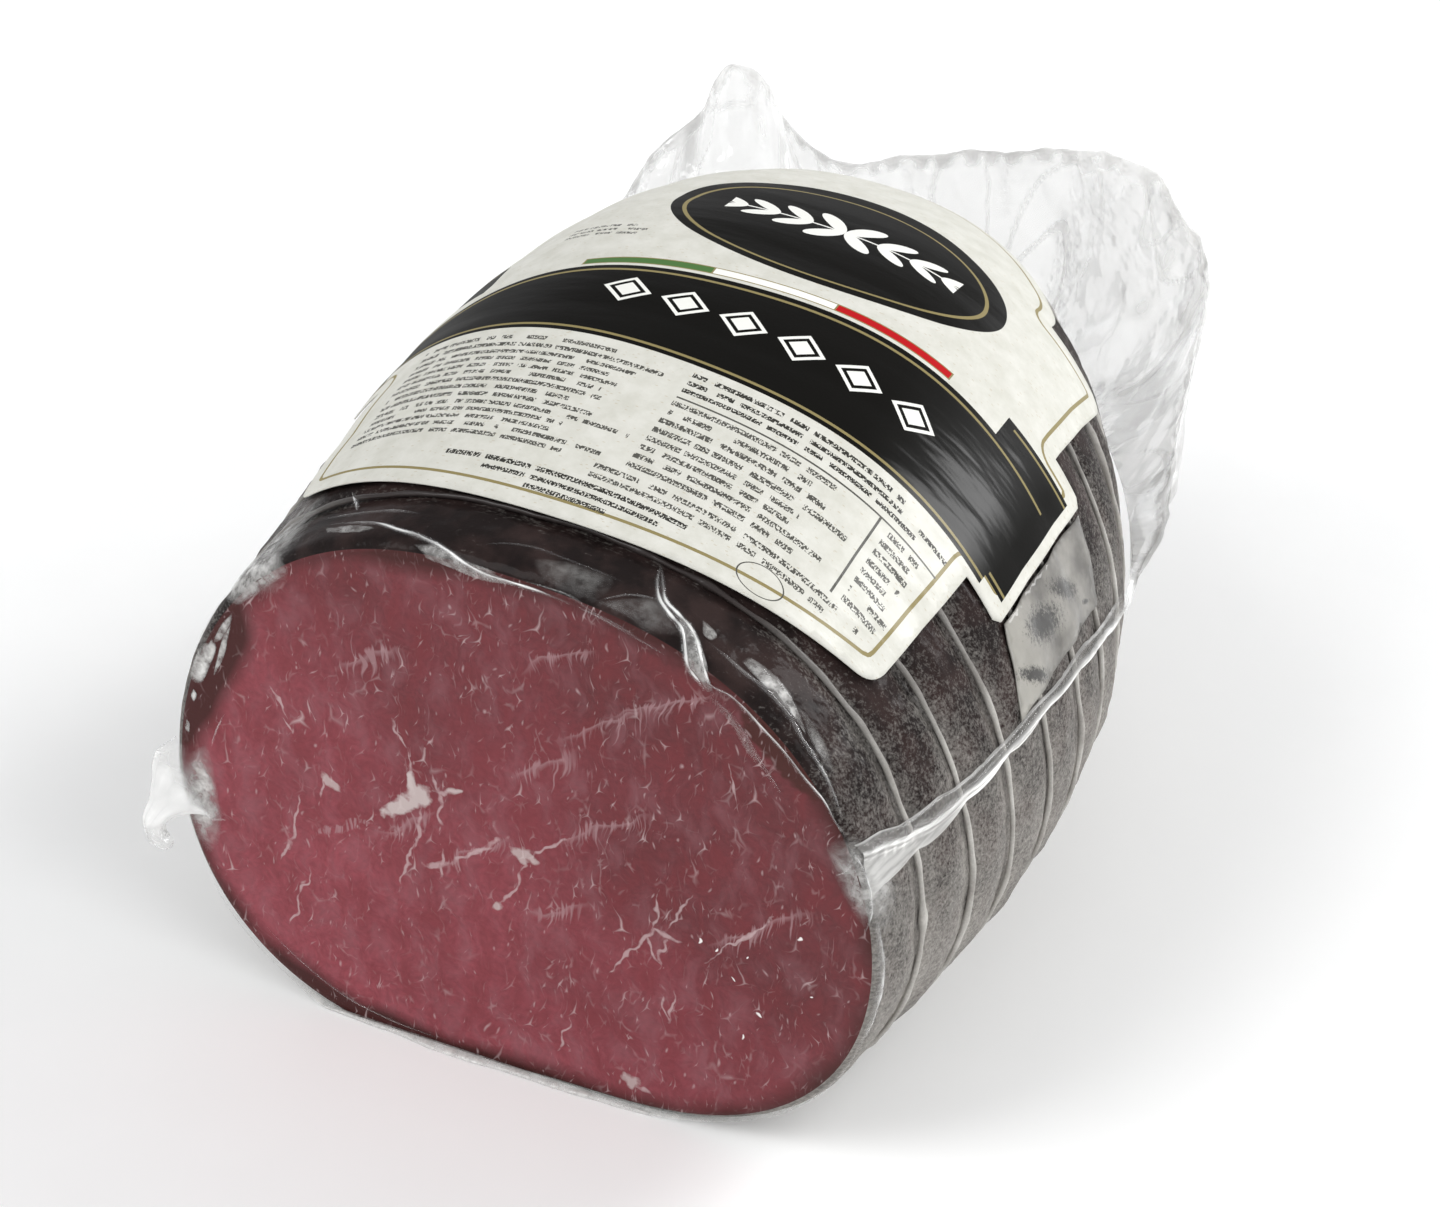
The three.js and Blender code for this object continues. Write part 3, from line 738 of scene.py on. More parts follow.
def bent_paper(name, outline, shift, offset_at, material):
    """Paper of that outline (across, along) bent round the body. Each point keeps its place in the print,
    with 1 as the third number on the under side, and how far it is from the paper's edge."""
    low, high = outline.min(axis=0), outline.max(axis=0)
    lattice_rows = np.arange(low[1], high[1], paper_step * 0.87)
    lattice = np.array([(x + (row % 2) * paper_step / 2, y) for row, y in enumerate(lattice_rows)
                        for x in np.arange(low[0], high[0], paper_step)])
    lattice = lattice[inside_outline(lattice, outline)]
    lattice = lattice[distance_to_outline(lattice, outline) > 0.45 * paper_step]
    flat_points = np.concatenate([outline, lattice])
    flat_outline = [list(range(len(outline)))]
    sheet = geometry.delaunay_2d_cdt([Vector(point) for point in flat_points], [], flat_outline, 1, 1e-5)
    flat_points = np.array([tuple(point) for point in sheet[0]])
    faces = [tuple(face) for face in sheet[2]]
    edges = {edge: True for face in faces for edge in zip(face, face[1:] + face[:1])}
    border = [edge for edge in edges if edge[::-1] not in edges]
    count = len(flat_points)
    offsets = offset_at(flat_points[:, 0] + shift, flat_points[:, 1])
    turns = np.array([turn_at(y, x + shift) for x, y in flat_points])
    top = body_point(flat_points[:, 1], turns, offsets)
    under = body_point(flat_points[:, 1], turns, offsets - paper_thickness)
    all_faces = faces + [tuple(count + corner for corner in face[::-1]) for face in faces]
    all_faces += [(end, start, start + count, end + count) for start, end in border]
    piece = new_piece(name, metres(np.concatenate([top, under])), all_faces, [material])
    print_place = piece.data.attributes.new("print_place", "FLOAT_VECTOR", "POINT")
    upper = np.stack([flat_points[:, 0] + shift, flat_points[:, 1], np.zeros(count)], axis=1)
    places = np.concatenate([upper, upper + [0, 0, 1]]).astype(np.float32)
    print_place.data.foreach_set("vector", places.ravel())
    edge_distance = distance_to_outline(flat_points, outline)
    set_attribute(piece, "edge_distance", np.concatenate([edge_distance, edge_distance]))
    return piece


# Printed paper: uncoated and matt, faintly clouded, with a few darker shives, under softly shining film.
printed_paper, tree = new_material("uncoated_paper_printed_under_film")
spot = add("Attribute", attribute_name="print_place").outputs["Vector"]
parts = add("SeparateXYZ", {0: spot})
across, along, layer = parts.outputs["X"], parts.outputs["Y"], parts.outputs["Z"]
tilted = add("Math", {0: across, 1: 0.045, 2: along}, operation="MULTIPLY_ADD")


def between(value, low_end, high_end):
    """1 where the value lies between the two ends."""
    return add("Math", {0: value, 1: (low_end + high_end) / 2, 2: (high_end - low_end) / 2},
               operation="COMPARE")


def printed_box(left, right, front, rear):
    """1 inside a box whose rows follow the print's slight tilt."""
    return times(between(across, left, right), between(tilted, front, rear))


def away_from(value, middle):
    """How far a value is from the middle, either way."""
    return add("Math", {0: add("Math", {0: value, 1: middle}, operation="SUBTRACT")}, operation="ABSOLUTE")


def printed_oval(x, y, half_length, half_width, turn=0.0):
    """Under 1 inside an oval of that centre and size, and more outside it."""
    place = add("Mapping", {"Vector": spot, "Location": (x, y, 0), "Rotation": (0, 0, turn),
                            "Scale": (half_length, half_width, 1e6)}, vector_type="TEXTURE")
    return add("VectorMath", {0: place}, operation="LENGTH").outputs["Value"]


def small_print(left, right, front, rear, pitch, weight):
    """Rows of print too small to read: specks in words and rows, denser with more weight."""
    row_place = add("Math", {0: tilted, 1: front}, operation="SUBTRACT")
    row_place = add("Math", {0: row_place, 1: pitch}, operation="DIVIDE")
    row_number = add("Math", {0: row_place}, operation="FLOOR")
    in_row = add("Math", {0: row_place}, operation="FRACT")
    row_spot = add("CombineXYZ", {0: across, 1: along, 2: row_number})
    stroke_place = add("Mapping", {"Vector": row_spot, "Scale": (3.3, 2.0, 1.7)})
    strokes = add("TexNoise", {"Vector": stroke_place, "Scale": 1.0, "Detail": 1.0})
    word_place = add("CombineXYZ", {0: across, 1: row_number})
    words = add("TexNoise", {"Vector": word_place, "Scale": 0.42, "Detail": 0.0}, noise_dimensions="2D")
    ragged = add("TexWhiteNoise", {"W": row_number}, noise_dimensions="1D")
    row_end = add("Math", {0: ragged.outputs["Value"], 1: -0.28 * (right - left), 2: right},
                  operation="MULTIPLY_ADD")
    rows = times(between(in_row, 0.22, 0.72), add("Math", {0: across, 1: row_end}, operation="LESS_THAN"))
    specks = times(add("Math", {0: strokes, 1: 0.51 - weight}, operation="GREATER_THAN"),
                   add("Math", {0: words, 1: 0.33}, operation="GREATER_THAN"))
    return times(times(rows, specks), printed_box(left, right, front, rear))


def any_of(masks):
    """The greatest of several masks."""
    found = masks[0]
    for mask in masks[1:]:
        found = brighter(found, mask)
    return found


paper_cloud = add("TexNoise", {"Vector": spot, "Scale": 1 / 5, "Detail": 5.0, "Roughness": 0.65})
cloud_tone = add("MapRange", {"Value": paper_cloud, "From Min": 0.35, "From Max": 0.65})
colour = painted(linear("#cccbc1"), "#d9d8d0", cloud_tone)
shive_place = add("Mapping", {"Vector": spot, "Rotation": (0, 0, 0.6), "Scale": (0.9, 2.4, 1)})
shives = add("TexVoronoi", {"Vector": shive_place, "Scale": 0.75})
shive_pick = add("SeparateColor", {0: shives.outputs["Color"]})
shive_mask = times(add("Math", {0: shives.outputs["Distance"], 1: 0.2}, operation="LESS_THAN"),
                   add("Math", {0: shive_pick.outputs[0], 1: 0.62}, operation="GREATER_THAN"))
colour = painted(colour, "#b7a98c", times(shive_mask, 0.45))

# A thin gold line runs round the label inside its edge.
gold = "#8d8158"
black = "#0c0b08"
grey_ink = "#55544f"
edge_distance = add("Attribute", attribute_name="edge_distance").outputs["Fac"]
colour = painted(colour, gold, between(edge_distance, 3.4, 4.1))

# Small print: each block has a left, right, front and rear end, the pitch of its rows, and a weight. Then
# come a table's rules and a small oval.
print_rows = any_of([
    small_print(-49, 2.3, 26.5, 55.5, 2.05, 0.06),
    small_print(-38, -20, 90, 95.5, 1.9, 0.03),
    small_print(5, 42, 28.5, 47.7, 2.4, 0.05),
    small_print(46.5, 55.5, 28.5, 47.7, 2.4, 0.05),
    small_print(0.5, 54, 23.6, 28.2, 2.2, 0.03),
])
colour = painted(colour, grey_ink, print_rows)
bold_rows = any_of([
    small_print(5, 60, 49.3, 55.6, 2.1, 0.075),
    small_print(-25, 29, 21.2, 23.4, 2.2, 0.06),
    small_print(-17, 22, 19.0, 21.2, 2.2, 0.06),
    small_print(-8, 10, 16.8, 19.0, 2.2, 0.06),
])
colour = painted(colour, "#3a3935", bold_rows)
table_front, row_pitch = 28.4, 2.4
in_table_row = add("Math", {0: tilted, 1: table_front, 2: row_pitch}, operation="WRAP")
rules = any_of([printed_box(5, 57.5, 47.95, 48.35), printed_box(44.3, 44.75, 28.6, 48.3),
                times(printed_box(5, 57.5, table_front, 47.9), between(in_table_row, 0, 0.16))])
colour = painted(colour, grey_ink, rules)
small_oval = printed_oval(34.5, 19.4, 4.4, 3.1)
colour = painted(colour, grey_ink, between(small_oval, 0.94, 1.0))

# The ribbon: a band with a folded end on each side, edged in gold.
from_peak = add("Math", {0: across, 1: 28.0}, operation="SUBTRACT")
curved = add("Math", {0: from_peak, 1: from_peak}, operation="MULTIPLY")
arched = add("Math", {0: curved, 1: 0.0016, 2: along}, operation="MULTIPLY_ADD")
to_side = away_from(across, label_centre)
before_rear = add("Math", {0: arched, 1: 83.5}, operation="LESS_THAN")
behind_front = add("Math", {0: tilted, 1: 56.9}, operation="GREATER_THAN")
band = times(times(before_rear, behind_front), between(to_side, 0, 63))
fold_end = times(between(to_side, 62.5, 68.4), between(along, 56.4, 89.0))
fold_rear = times(between(to_side, 50.5, 68.4), between(along, 78.0, 89.0))
ribbon = any_of([band, fold_end, fold_rear])
colour = painted(colour, black, ribbon)
gold_lines = any_of([
    times(between(arched, 81.6, 82.25), between(to_side, 0, 65.4)),
    times(between(tilted, 57.9, 58.5), between(to_side, 0, 63)),
    times(between(along, 87.3, 87.9), between(to_side, 52.5, 68.4)),
    times(between(along, 57.3, 57.9), between(to_side, 63.4, 68.4))])
colour = painted(colour, gold, gold_lines)

# The three-colour bar behind the band, in a fine gold outline.
colour = painted(colour, gold, times(between(arched, 84.35, 86.55), between(across, -27.9, 40.4)))
for left, right, ink in ((-27.6, -4.7, "#4f7340"), (-4.4, 17.6, "#f0f0ea"), (17.9, 40.1, "#b5161c")):
    colour = painted(colour, ink, times(between(arched, 84.6, 86.3), between(across, left, right)))

# The oval, with a gold line inside it and a plain sprig of leaves, and a row of lozenges on the ribbon.
in_oval = add("Math", {0: printed_oval(9, 110, 32, 20.3), 1: 1.0}, operation="LESS_THAN")
colour = painted(colour, black, in_oval)
colour = painted(colour, gold, between(printed_oval(8.5, 109, 29, 17.6), 0.972, 1.0))


def leaf_row(x, y, half_run, pitch, length, width, turn):
    """A stem with leaves in pairs, smaller towards both ends."""
    out = away_from(across, x)
    rise = away_from(along, y)
    step = add("Math", {0: out, 1: 0.0, 2: pitch}, operation="WRAP")
    shrink = add("MapRange", {"Value": out, "From Min": 0.0, "From Max": half_run, "To Min": 1.0,
                              "To Max": 2.1})
    grown_rise = add("Math", {0: rise, 1: shrink}, operation="MULTIPLY")
    leaf_place = add("CombineXYZ", {0: step, 1: grown_rise})
    leaf = add("Mapping", {"Vector": leaf_place, "Location": (pitch * 0.5, length * 0.72, 0),
                           "Rotation": (0, 0, turn), "Scale": (length, width, 1)}, vector_type="TEXTURE")
    out_of_leaf = add("VectorMath", {0: leaf}, operation="LENGTH").outputs["Value"]
    blade = add("Math", {0: out_of_leaf, 1: 1.0}, operation="LESS_THAN")
    stem = between(rise, -1.0, 0.22)
    return times(brighter(blade, stem), between(out, -1.0, half_run))


sprig = leaf_row(x=9, y=111, half_run=22, pitch=6.2, length=4.6, width=1.5, turn=0.9)
colour = painted(colour, "#ecece6", sprig)
half_pitch = 5.5
shifted = add("Math", {0: across, 1: 4.5}, operation="ADD")
lozenge_step = add("Math", {0: shifted, 1: -half_pitch, 2: half_pitch}, operation="WRAP")
lozenge_side = add("Math", {0: lozenge_step}, operation="ABSOLUTE")
lozenge_rise = away_from(tilted, 71.6)
lozenge = add("Math", {0: lozenge_side, 1: 0.85, 2: lozenge_rise}, operation="MULTIPLY_ADD")
lozenges = times(any_of([between(lozenge, -1, 2.1), between(lozenge, 3.0, 3.9)]), between(across, -21, 45))
colour = painted(colour, "#ecece6", lozenges)

# The under side is plain paper. The film over the label has soft waves, and shines most on its right part.
colour = painted(colour, "#e4e3da", layer)
fibre = add("TexNoise", {"Vector": spot, "Scale": 1 / 0.7, "Detail": 4.0})
relief = add("Bump", {"Height": fibre, "Strength": 0.2, "Distance": 0.0002})
pull_place = add("Mapping", {"Vector": spot, "Rotation": (0, 0, 0.35), "Scale": (1 / 30, 1 / 7, 1)})
film_waves = add("TexNoise", {"Vector": pull_place, "Scale": 1.0, "Detail": 3.0})
film_relief = add("Bump", {"Height": film_waves, "Strength": 0.4, "Distance": 0.0012})
taut = times(add("MapRange", {"Value": across, "From Min": 34.0, "From Max": 50.0}),
             add("MapRange", {"Value": across, "From Min": 66.0, "From Max": 58.0}))
taut = add("Math", {0: taut, 1: 0.3, 2: 0.13}, operation="MULTIPLY_ADD")
surface(add("BsdfPrincipled", {
    "Base Color": colour, "Roughness": 0.75, "Specular IOR Level": 0.05, "Normal": relief,
    "Coat Weight": taut, "Coat Roughness": 0.2, "Coat IOR": 1.4, "Coat Normal": film_relief}))


def paper_offset(across, along):
    """The height of the paper's face over the body: it dips a little between the strings."""
    dip = 0.22 * np.clip(from_nearest_hoop(along) / (hoop_pitch / 2), 0, 1) ** 1.5
    return paper_top - dip + 0.1 * np.sin(across / 9 + along / 21)


paper_label = bent_paper("paper_label_printed", label_outline(), label_centre, paper_offset, printed_paper)
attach(paper_label, "root")
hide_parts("paper_label")

# Tag: a strip of thin greyish paper lying on the strings under the film, which pulls it down between them.
# Its worn print is shapeless dark blots.
tag_top = 1.35
tag_corners = np.array([(73, 55), (88, 50), (88, 87), (73, 92)], dtype=float)
tag_outline = []
for start, end in zip(tag_corners, np.roll(tag_corners, -1, axis=0)):
    count = int(np.linalg.norm(end - start))
    tag_outline += [start + (end - start) * step / count for step in range(count)]

# Thin paper: grey where the meat shows through it, and darker still as painted shade of the film over it.
# Its front end is paler, a painted highlight where a fold catches the light. It lies under the shining film.
thin_paper, tree = new_material("thin_grey_paper_under_film")
spot = add("Attribute", attribute_name="print_place").outputs["Vector"]
cloud = add("TexNoise", {"Vector": spot, "Scale": 1 / 7, "Detail": 4.0})
cloud_tone = add("MapRange", {"Value": cloud, "From Min": 0.35, "From Max": 0.65})
colour = painted(linear("#57544f"), "#86837c", cloud_tone)
tag_along = add("SeparateXYZ", {0: spot}).outputs["Y"]
# Painted highlight: the front end paler, where a fold of the tag catches the light.
painted_lit_front_end = add("MapRange", {"Value": tag_along, "From Min": 66.0, "From Max": 55.0, "To Max": 0.55})
colour = painted(colour, "#b3b0a7", painted_lit_front_end)
worn = add("TexNoise", {"Vector": spot, "Scale": 1 / 0.8, "Detail": 5.0, "Roughness": 0.85})
for blot in ((79.7, 65.8, 7.6, 3.6, 1.2), (79.2, 76.2, 6.5, 2.2, 1.0), (84.2, 57.5, 6.4, 1.6, 0.95),
             (85.5, 83.2, 2.2, 0.6, 1.2)):
    out = printed_oval(*blot)
    rough_out = add("Math", {0: worn, 1: 3.0, 2: out}, operation="MULTIPLY_ADD")
    stain = add("MapRange", {"Value": rough_out, "From Min": 2.45, "From Max": 1.95, "To Max": 0.95})
    colour = painted(colour, "#22201e", stain)
film_waves = add("TexNoise", {"Vector": spot, "Scale": 1 / 5, "Detail": 2.0})
film_relief = add("Bump", {"Height": film_waves, "Strength": 0.6, "Distance": 0.001})
surface(add("BsdfPrincipled", {
    "Base Color": colour, "Roughness": 0.6, "Specular IOR Level": 0.3,
    "Coat Weight": 0.7, "Coat Roughness": 0.15, "Coat IOR": 1.45, "Coat Normal": film_relief}))


def tag_offset(across, along):
    """The tag's height over the body: up over each string and down between them."""
    dip = 0.55 * np.clip(from_nearest_hoop(along) / 5, 0, 1) ** 1.3
    return tag_top - dip + 0.08 * np.sin(across * 0.9 + along / 3)


small_tag = bent_paper("small_tag_worn", np.array(tag_outline), 0.0, tag_offset, thin_paper)
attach(small_tag, "root")
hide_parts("small_tag")


# Film: the shrunk pouch, clear multilayer plastic a tenth of a millimetre thick. Behind the meat both layers
# stand up as a crumpled tail, welded along its free edge, with a seam down each side.
def patchy_film(milky, patches, plastic):
    """Film that shows its plastic in patches where it is milky, and elsewhere lets everything through."""
    clear = add("BsdfTransparent", {"Color": linear("#fdfdfd")})
    surface(add("MixShader", {0: times(milky, patches), 1: clear, 2: plastic}))


# Crumpled film: thin film lets most light through and throws small sharp highlights. Only where it is
# creased, welded or doubled is it a milky white that hides what is behind it.
crumpled_film, tree = new_material("clear_shrink_film_crumpled")
place_mm = place_in_mm()
milky = add("Attribute", attribute_name="milkiness").outputs["Fac"]
clouds = add("TexNoise", {"Vector": place_mm, "Scale": 1 / 12, "Detail": 3.0})
cloud_tone = add("MapRange", {"Value": clouds, "From Min": 0.35, "From Max": 0.7, "To Min": 0.85,
                              "To Max": 1.2})
tint = painted(linear("#eeeeec"), "#fdfdfb", milky)
ripple = add("TexNoise", {"Vector": place_mm, "Scale": 1 / 7, "Detail": 1.0})
crinkles = add("TexNoise", {"Vector": place_mm, "Scale": 1 / 3.2, "Detail": 1.0})
crinkled = add("MapRange", {"Value": clouds, "From Min": 0.48, "From Max": 0.62, "To Max": 0.5})
fine_relief = add("Math", {0: crinkles, 1: crinkled, 2: ripple}, operation="MULTIPLY_ADD")
relief = add("Bump", {"Height": fine_relief, "Strength": 0.8, "Distance": 0.001})
let_through = add("MapRange", {"Value": milky, "From Min": 0.65, "From Max": 0.4, "To Max": 0.7})
plastic = add("BsdfPrincipled", {
    "Base Color": tint, "Roughness": 0.22, "IOR": 1.2, "Normal": relief, "Transmission Weight": let_through,
    "Coat Weight": 1.0, "Coat Roughness": 0.06, "Coat IOR": 1.9, "Coat Normal": relief})
patchy_film(milky, cloud_tone, plastic)

# Dulled film: welded double, or with moisture under it, the film is cloudy in patches and its shine is soft.
# It also draws the painted highlights among the hazy places: pale patches that stand for the film's shine.
dulled_film_and_painted_shine, tree = new_material("film_dulled_and_painted_shine")
place_mm = place_in_mm()
milky = add("Attribute", attribute_name="milkiness").outputs["Fac"]
clouds = add("TexNoise", {"Vector": place_mm, "Scale": 1 / 2.4, "Detail": 4.0, "Roughness": 0.62})
broken = add("MapRange", {"Value": clouds, "From Min": 0.36, "From Max": 0.64, "To Min": 0.35,
                          "To Max": 1.25})
tint = painted(linear("#b4b2ae"), "#e2e1de", clouds)
relief = add("Bump", {"Height": clouds, "Strength": 0.3, "Distance": 0.0004})
plastic = add("BsdfPrincipled", {
    "Base Color": tint, "Roughness": 0.4, "Specular IOR Level": 0.5, "Normal": relief,
    "Coat Weight": 0.6, "Coat Roughness": 0.14, "Coat IOR": 1.5})
patchy_film(milky, broken, plastic)


def film_piece(name, sheets, material):
    """A piece of film from sheets of points, each with how milky it is at every point."""
    points, faces, milk = [], [], []
    for sheet, milkiness in sheets:
        rows, across = sheet.shape[:2]
        faces += grid_faces(rows, across, len(points), closed=False)
        points += list(sheet.reshape(-1, 3))
        milk += list(np.broadcast_to(milkiness, (rows, across)).ravel())
    piece = new_piece(name, metres(np.array(points)), faces, [material])
    set_attribute(piece, "milkiness", milk)
    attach(piece, "root")
    return piece


def blend_in(value, low_end, high_end):
    """0 below the low end and 1 above the high end, eased between them."""
    share = min(1.0, max(0.0, (value - low_end) / (high_end - low_end)))
    return share * share * (3 - 2 * share)


tail_start = 0.118
root_gap = 1.7


def seam_line(turn, drop=0.0, lift=0.0):
    """The line the film leaves the meat at: a turn of 0 is at the front of the right side, 0.5 is behind and
    1 is at the front of the left side. On the right it slopes down from 13 degrees above the middle, on the
    left it rises from 11 below it, and both reach the middle at the far end."""
    sweep = math.pi * min(1.0, max(0.0, turn))
    along = 2 + (body_length - 2) * abs(math.sin(sweep)) ** (2 / side_fullness)
    front, far = (13, 0) if turn < 0.5 else (191, 180)
    angle = math.radians(front + (far - front) * along / body_length)
    return body_point(along, angle + drop, lift)


def film_root(turn):
    """The foot of the standing film, just outside the meat, and lower where the tail starts on the right."""
    run = seam_line(turn + 1e-3) - seam_line(turn - 1e-3)
    out = np.array([run[1], -run[0], 0])
    drop = -0.05 * (1 - blend_in(turn, tail_start, 0.26))
    return seam_line(turn, drop) + root_gap * out / np.linalg.norm(out)


def smooth_curve(points, curve_share):
    """A centripetal Catmull-Rom curve through the points, which it passes at even shares."""
    place = curve_share * (len(points) - 1)
    first = min(int(place), len(points) - 2)
    share = place - first
    start, end = points[first], points[first + 1]
    before = points[first - 1] if first > 0 else 2 * start - end
    after = points[first + 2] if first + 2 < len(points) else 2 * end - start
    legs = ((before, start), (start, end), (end, after))
    spans = [max(1e-4, np.linalg.norm(one - other)) ** 0.5 for one, other in legs]
    leave = ((start - before) / spans[0] - (end - before) / (spans[0] + spans[1])
             + (end - start) / spans[1]) * spans[1]
    arrive = ((end - start) / spans[1] - (after - start) / (spans[1] + spans[2])
              + (after - end) / spans[2]) * spans[1]
    cube = 2 * start - 2 * end + leave + arrive
    square = -3 * start + 3 * end - 2 * leave - arrive
    return start + share * (leave + share * (square + share * cube))


# The free edge's points, from the right side round behind to the left, with the tail's two peaks. A station
# is a point with its turn. After the tail the stations follow the left side to the cut, close to the meat.
film_steps = 600
film_rows = 54
tail_from, tail_to = 0.17, 0.81
tail_edge = [(60, 122, 58), (52, 146, 65), (50, 163, 75), (46, 170, 82), (39, 174, 87), (33, 180, 92.5),
             (14, 186, 89.5), (-6, 190, 82.5), (-24, 192, 76), (-38, 190, 72), (-48, 188.5, 79),
             (-51.5, 188, 86.5), (-56, 187, 89.5), (-60, 183, 88), (-62, 180.5, 82), (-67, 170, 76),
             (-72, 146, 58)]
stations = [(tail_start, seam_line(tail_start, -0.08, 2.0)), (0.145, seam_line(0.145, -0.055, 3.0))]
for index, point in enumerate(tail_edge):
    turn = tail_from + (tail_to - tail_from) * index / (len(tail_edge) - 1)
    stations.append((turn, np.array(point, dtype=float)))
for turn, reach in ((0.87, 3.0), (0.93, 3.0), (0.965, 2.8), (0.985, 2.4), (0.9965, 1.8), (0.9999, 1.2)):
    stations.append((turn, film_root(turn) + np.array([-reach, 0, -reach / 1.5])))
station_turns = [turn for turn, point in stations]
station_points = [point for turn, point in stations]

# Big soft folds run from the meat to the edge: each is a place and a width counted in stations, and a
# height. The other heights are those of soft swellings, small puckers, lobes by the edge and sharp creases.
# The two layers stand a small gap apart, wider inside the tail, and the weld joins them in beads.
tail_folds = [(4.1, 0.5, -2.4), (5.67, 0.42, 3.4), (7.04, 0.55, -2.6), (8.19, 0.38, 4.2),
              (9.66, 0.63, -2.0), (13.0, 0.42, -2.4), (14.5, 0.42, 2.6), (16.2, 0.42, -1.6)]
swell_height = 3.6
pucker_height = 0.4
lobe_height = 1.2
crease_height = 0.12
seam_half_gap = 0.2
tail_half_gap = 1.6
bead_height = 0.15
plain_milk = 0.35


def film_sheet(layer):
    """Points of one of the film's two layers, and how milky each is."""
    points, milk = [], []
    gone = 0.0
    earlier = None
    for step in range(film_steps):
        share = 1e-4 + (1 - 2e-4) * step / (film_steps - 1)
        station = share * (len(stations) - 1)
        turn = float(np.interp(station, range(len(stations)), station_turns))
        root = film_root(turn)
        free = smooth_curve(station_points, share)
        in_tail = blend_in(turn, 0.12, 0.19) * (1 - blend_in(turn, 0.8, 0.88))
        if earlier is not None:
            gone += float(np.linalg.norm(free - earlier))
        earlier = free
        waves = noise.noise(Vector((gone / 12, 3.1, 0)))
        nicks = abs(noise.noise(Vector((gone / 5, 9.1, 0))))
        ragged = 1.5 * waves + 0.9 * nicks
        reach = free - root
        length = float(np.linalg.norm(reach))
        free = free + reach / length * ragged * (0.1 + 0.9 * in_tail)
        bend = root + (free - root) * 0.75
        bend[2] = root[2] + (free[2] - root[2]) * 0.2
        after = smooth_curve(station_points, min(1.0, share + 2e-3))
        ahead = after - smooth_curve(station_points, share - 1e-4)
        folds = sum(rise * math.exp(-((station - place) / width) ** 2) for place, width, rise in tail_folds)
        beads = 0.5 + 0.5 * math.sin(gone * 1.15 + 3 * noise.noise(Vector((gone / 9, 0, 0))))
        for row in range(film_rows):
            height = row / (film_rows - 1)
            base = (1 - height) ** 2 * root + 2 * height * (1 - height) * bend + height ** 2 * free
            up = 2 * (1 - height) * (bend - root) + 2 * height * (free - bend)
            normal = np.cross(ahead, up)
            normal = normal / max(1e-6, np.linalg.norm(normal))
            up_mm = height * length
            to_edge = length - up_mm
            swell = noise.noise(Vector((gone / 21 + 3 * layer, up_mm / 34, 2.7 * layer)))
            pucker = noise.noise(Vector((gone / 8, up_mm / 14, 5 + layer)))
            crease = noise.noise(Vector((gone / 22 + 0.01 * up_mm, up_mm / 40, 8 + 2 * layer)))
            sharp = math.exp(-(crease / 0.02) ** 2) * blend_in(height, 0.1, 0.3)
            weld = 1 - blend_in(to_edge, 1.4, 2.4)
            lobes = math.exp(-((to_edge - 5) / 3.5) ** 2) * noise.noise(Vector((gone / 6, 1.5, layer)))
            arch = math.sin(math.pi * height)
            big_fold = folds * height ** 0.7 * (1 - 0.5 * height)
            rise = in_tail * (big_fold + swell_height * swell * arch ** 0.6
                              + pucker_height * pucker * height ** 0.5 + lobe_height * lobes
                              + crease_height * sharp)
            half_gap = seam_half_gap + in_tail * (tail_half_gap * arch * (1 - weld)
                                                  + bead_height * weld * beads)
            points.append(base + normal * (rise + (half_gap if layer else -half_gap)))
            creased = 0.24 * sharp + 0.6 * max(0.0, pucker - 0.3)
            welded = weld * (0.02 + 0.25 * beads)
            at_edge = 0.3 * max(0.0, 1 - to_edge / 0.8)
            milky = plain_milk + in_tail * (creased + welded + at_edge) + 0.2 * (1 - in_tail)
            milk.append(blend_in(gone, 0.0, 9.0) * min(1.0, milky))
    return np.array(points).reshape(film_steps, film_rows, 3), np.array(milk).reshape(film_steps, film_rows)


film = film_piece("film_tail_and_left_seam", [film_sheet(0), film_sheet(1)], crumpled_film)
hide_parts("film")

# Right seam: the pouch's side weld, a fin of doubled film folded down flat along the strings, widest at the
# cut. The film there is drawn out lengthwise, so it shows long bright lines and streaks with clearer film
# between them.
weld_film, tree = new_material("film_side_weld_drawn_out")
object_place = add("TexCoord").outputs["Object"]
streak_place = add("Mapping", {"Vector": object_place, "Scale": (1100, 70, 1100)})
streaks = add("TexNoise", {"Vector": streak_place, "Scale": 1.0, "Detail": 2.0})
broken = add("MapRange", {"Value": streaks, "From Min": 0.34, "From Max": 0.66, "To Min": 0.72,
                          "To Max": 1.2})
milky = add("Attribute", attribute_name="milkiness").outputs["Fac"]
tint = painted(linear("#a9a8a4"), "#eeedea", milky)
relief = add("Bump", {"Height": streaks, "Strength": 0.25, "Distance": 0.0004})
plastic = add("BsdfPrincipled", {
    "Base Color": tint, "Roughness": 0.35, "Specular IOR Level": 0.5, "Normal": relief,
    "Coat Weight": 0.7, "Coat Roughness": 0.1, "Coat IOR": 1.5})
patchy_film(milky, broken, plastic)

# The fin's upper edge and its foot: how far along from the cut, and at what angle round the body in degrees.
# The foot is drawn in between the strings, and a ridge runs along the fin.
seam_top = [(0.6, 16.2), (6.8, 15), (11.2, 13.6), (17.2, 12.9), (22.4, 12.4), (26.8, 11.2), (32.4, 10.6),
            (40.4, 10.7), (49.6, 9.9), (58.8, 9.6), (68.4, 9), (78.8, 8.1), (88, 6.6), (105.9, 2.4),
            (119, -1.5)]
seam_foot = [(0.6, 7.4), (3.2, 8.0), (11.6, 8.5), (16.4, 8.1), (25.2, 8.2), (31.2, 8.3), (41.2, 8.5),
             (46.8, 8.0), (55.2, 8.2), (62.8, 7.6), (71.6, 6.8), (83.2, 5.4), (96.3, 2.6), (105.5, 0.2),
             (119, -5.5)]
seam_along = np.linspace(0.6, 110, 280)
seam_across = np.linspace(0, 1, 26)
top_angle = np.interp(seam_along, *zip(*seam_top))
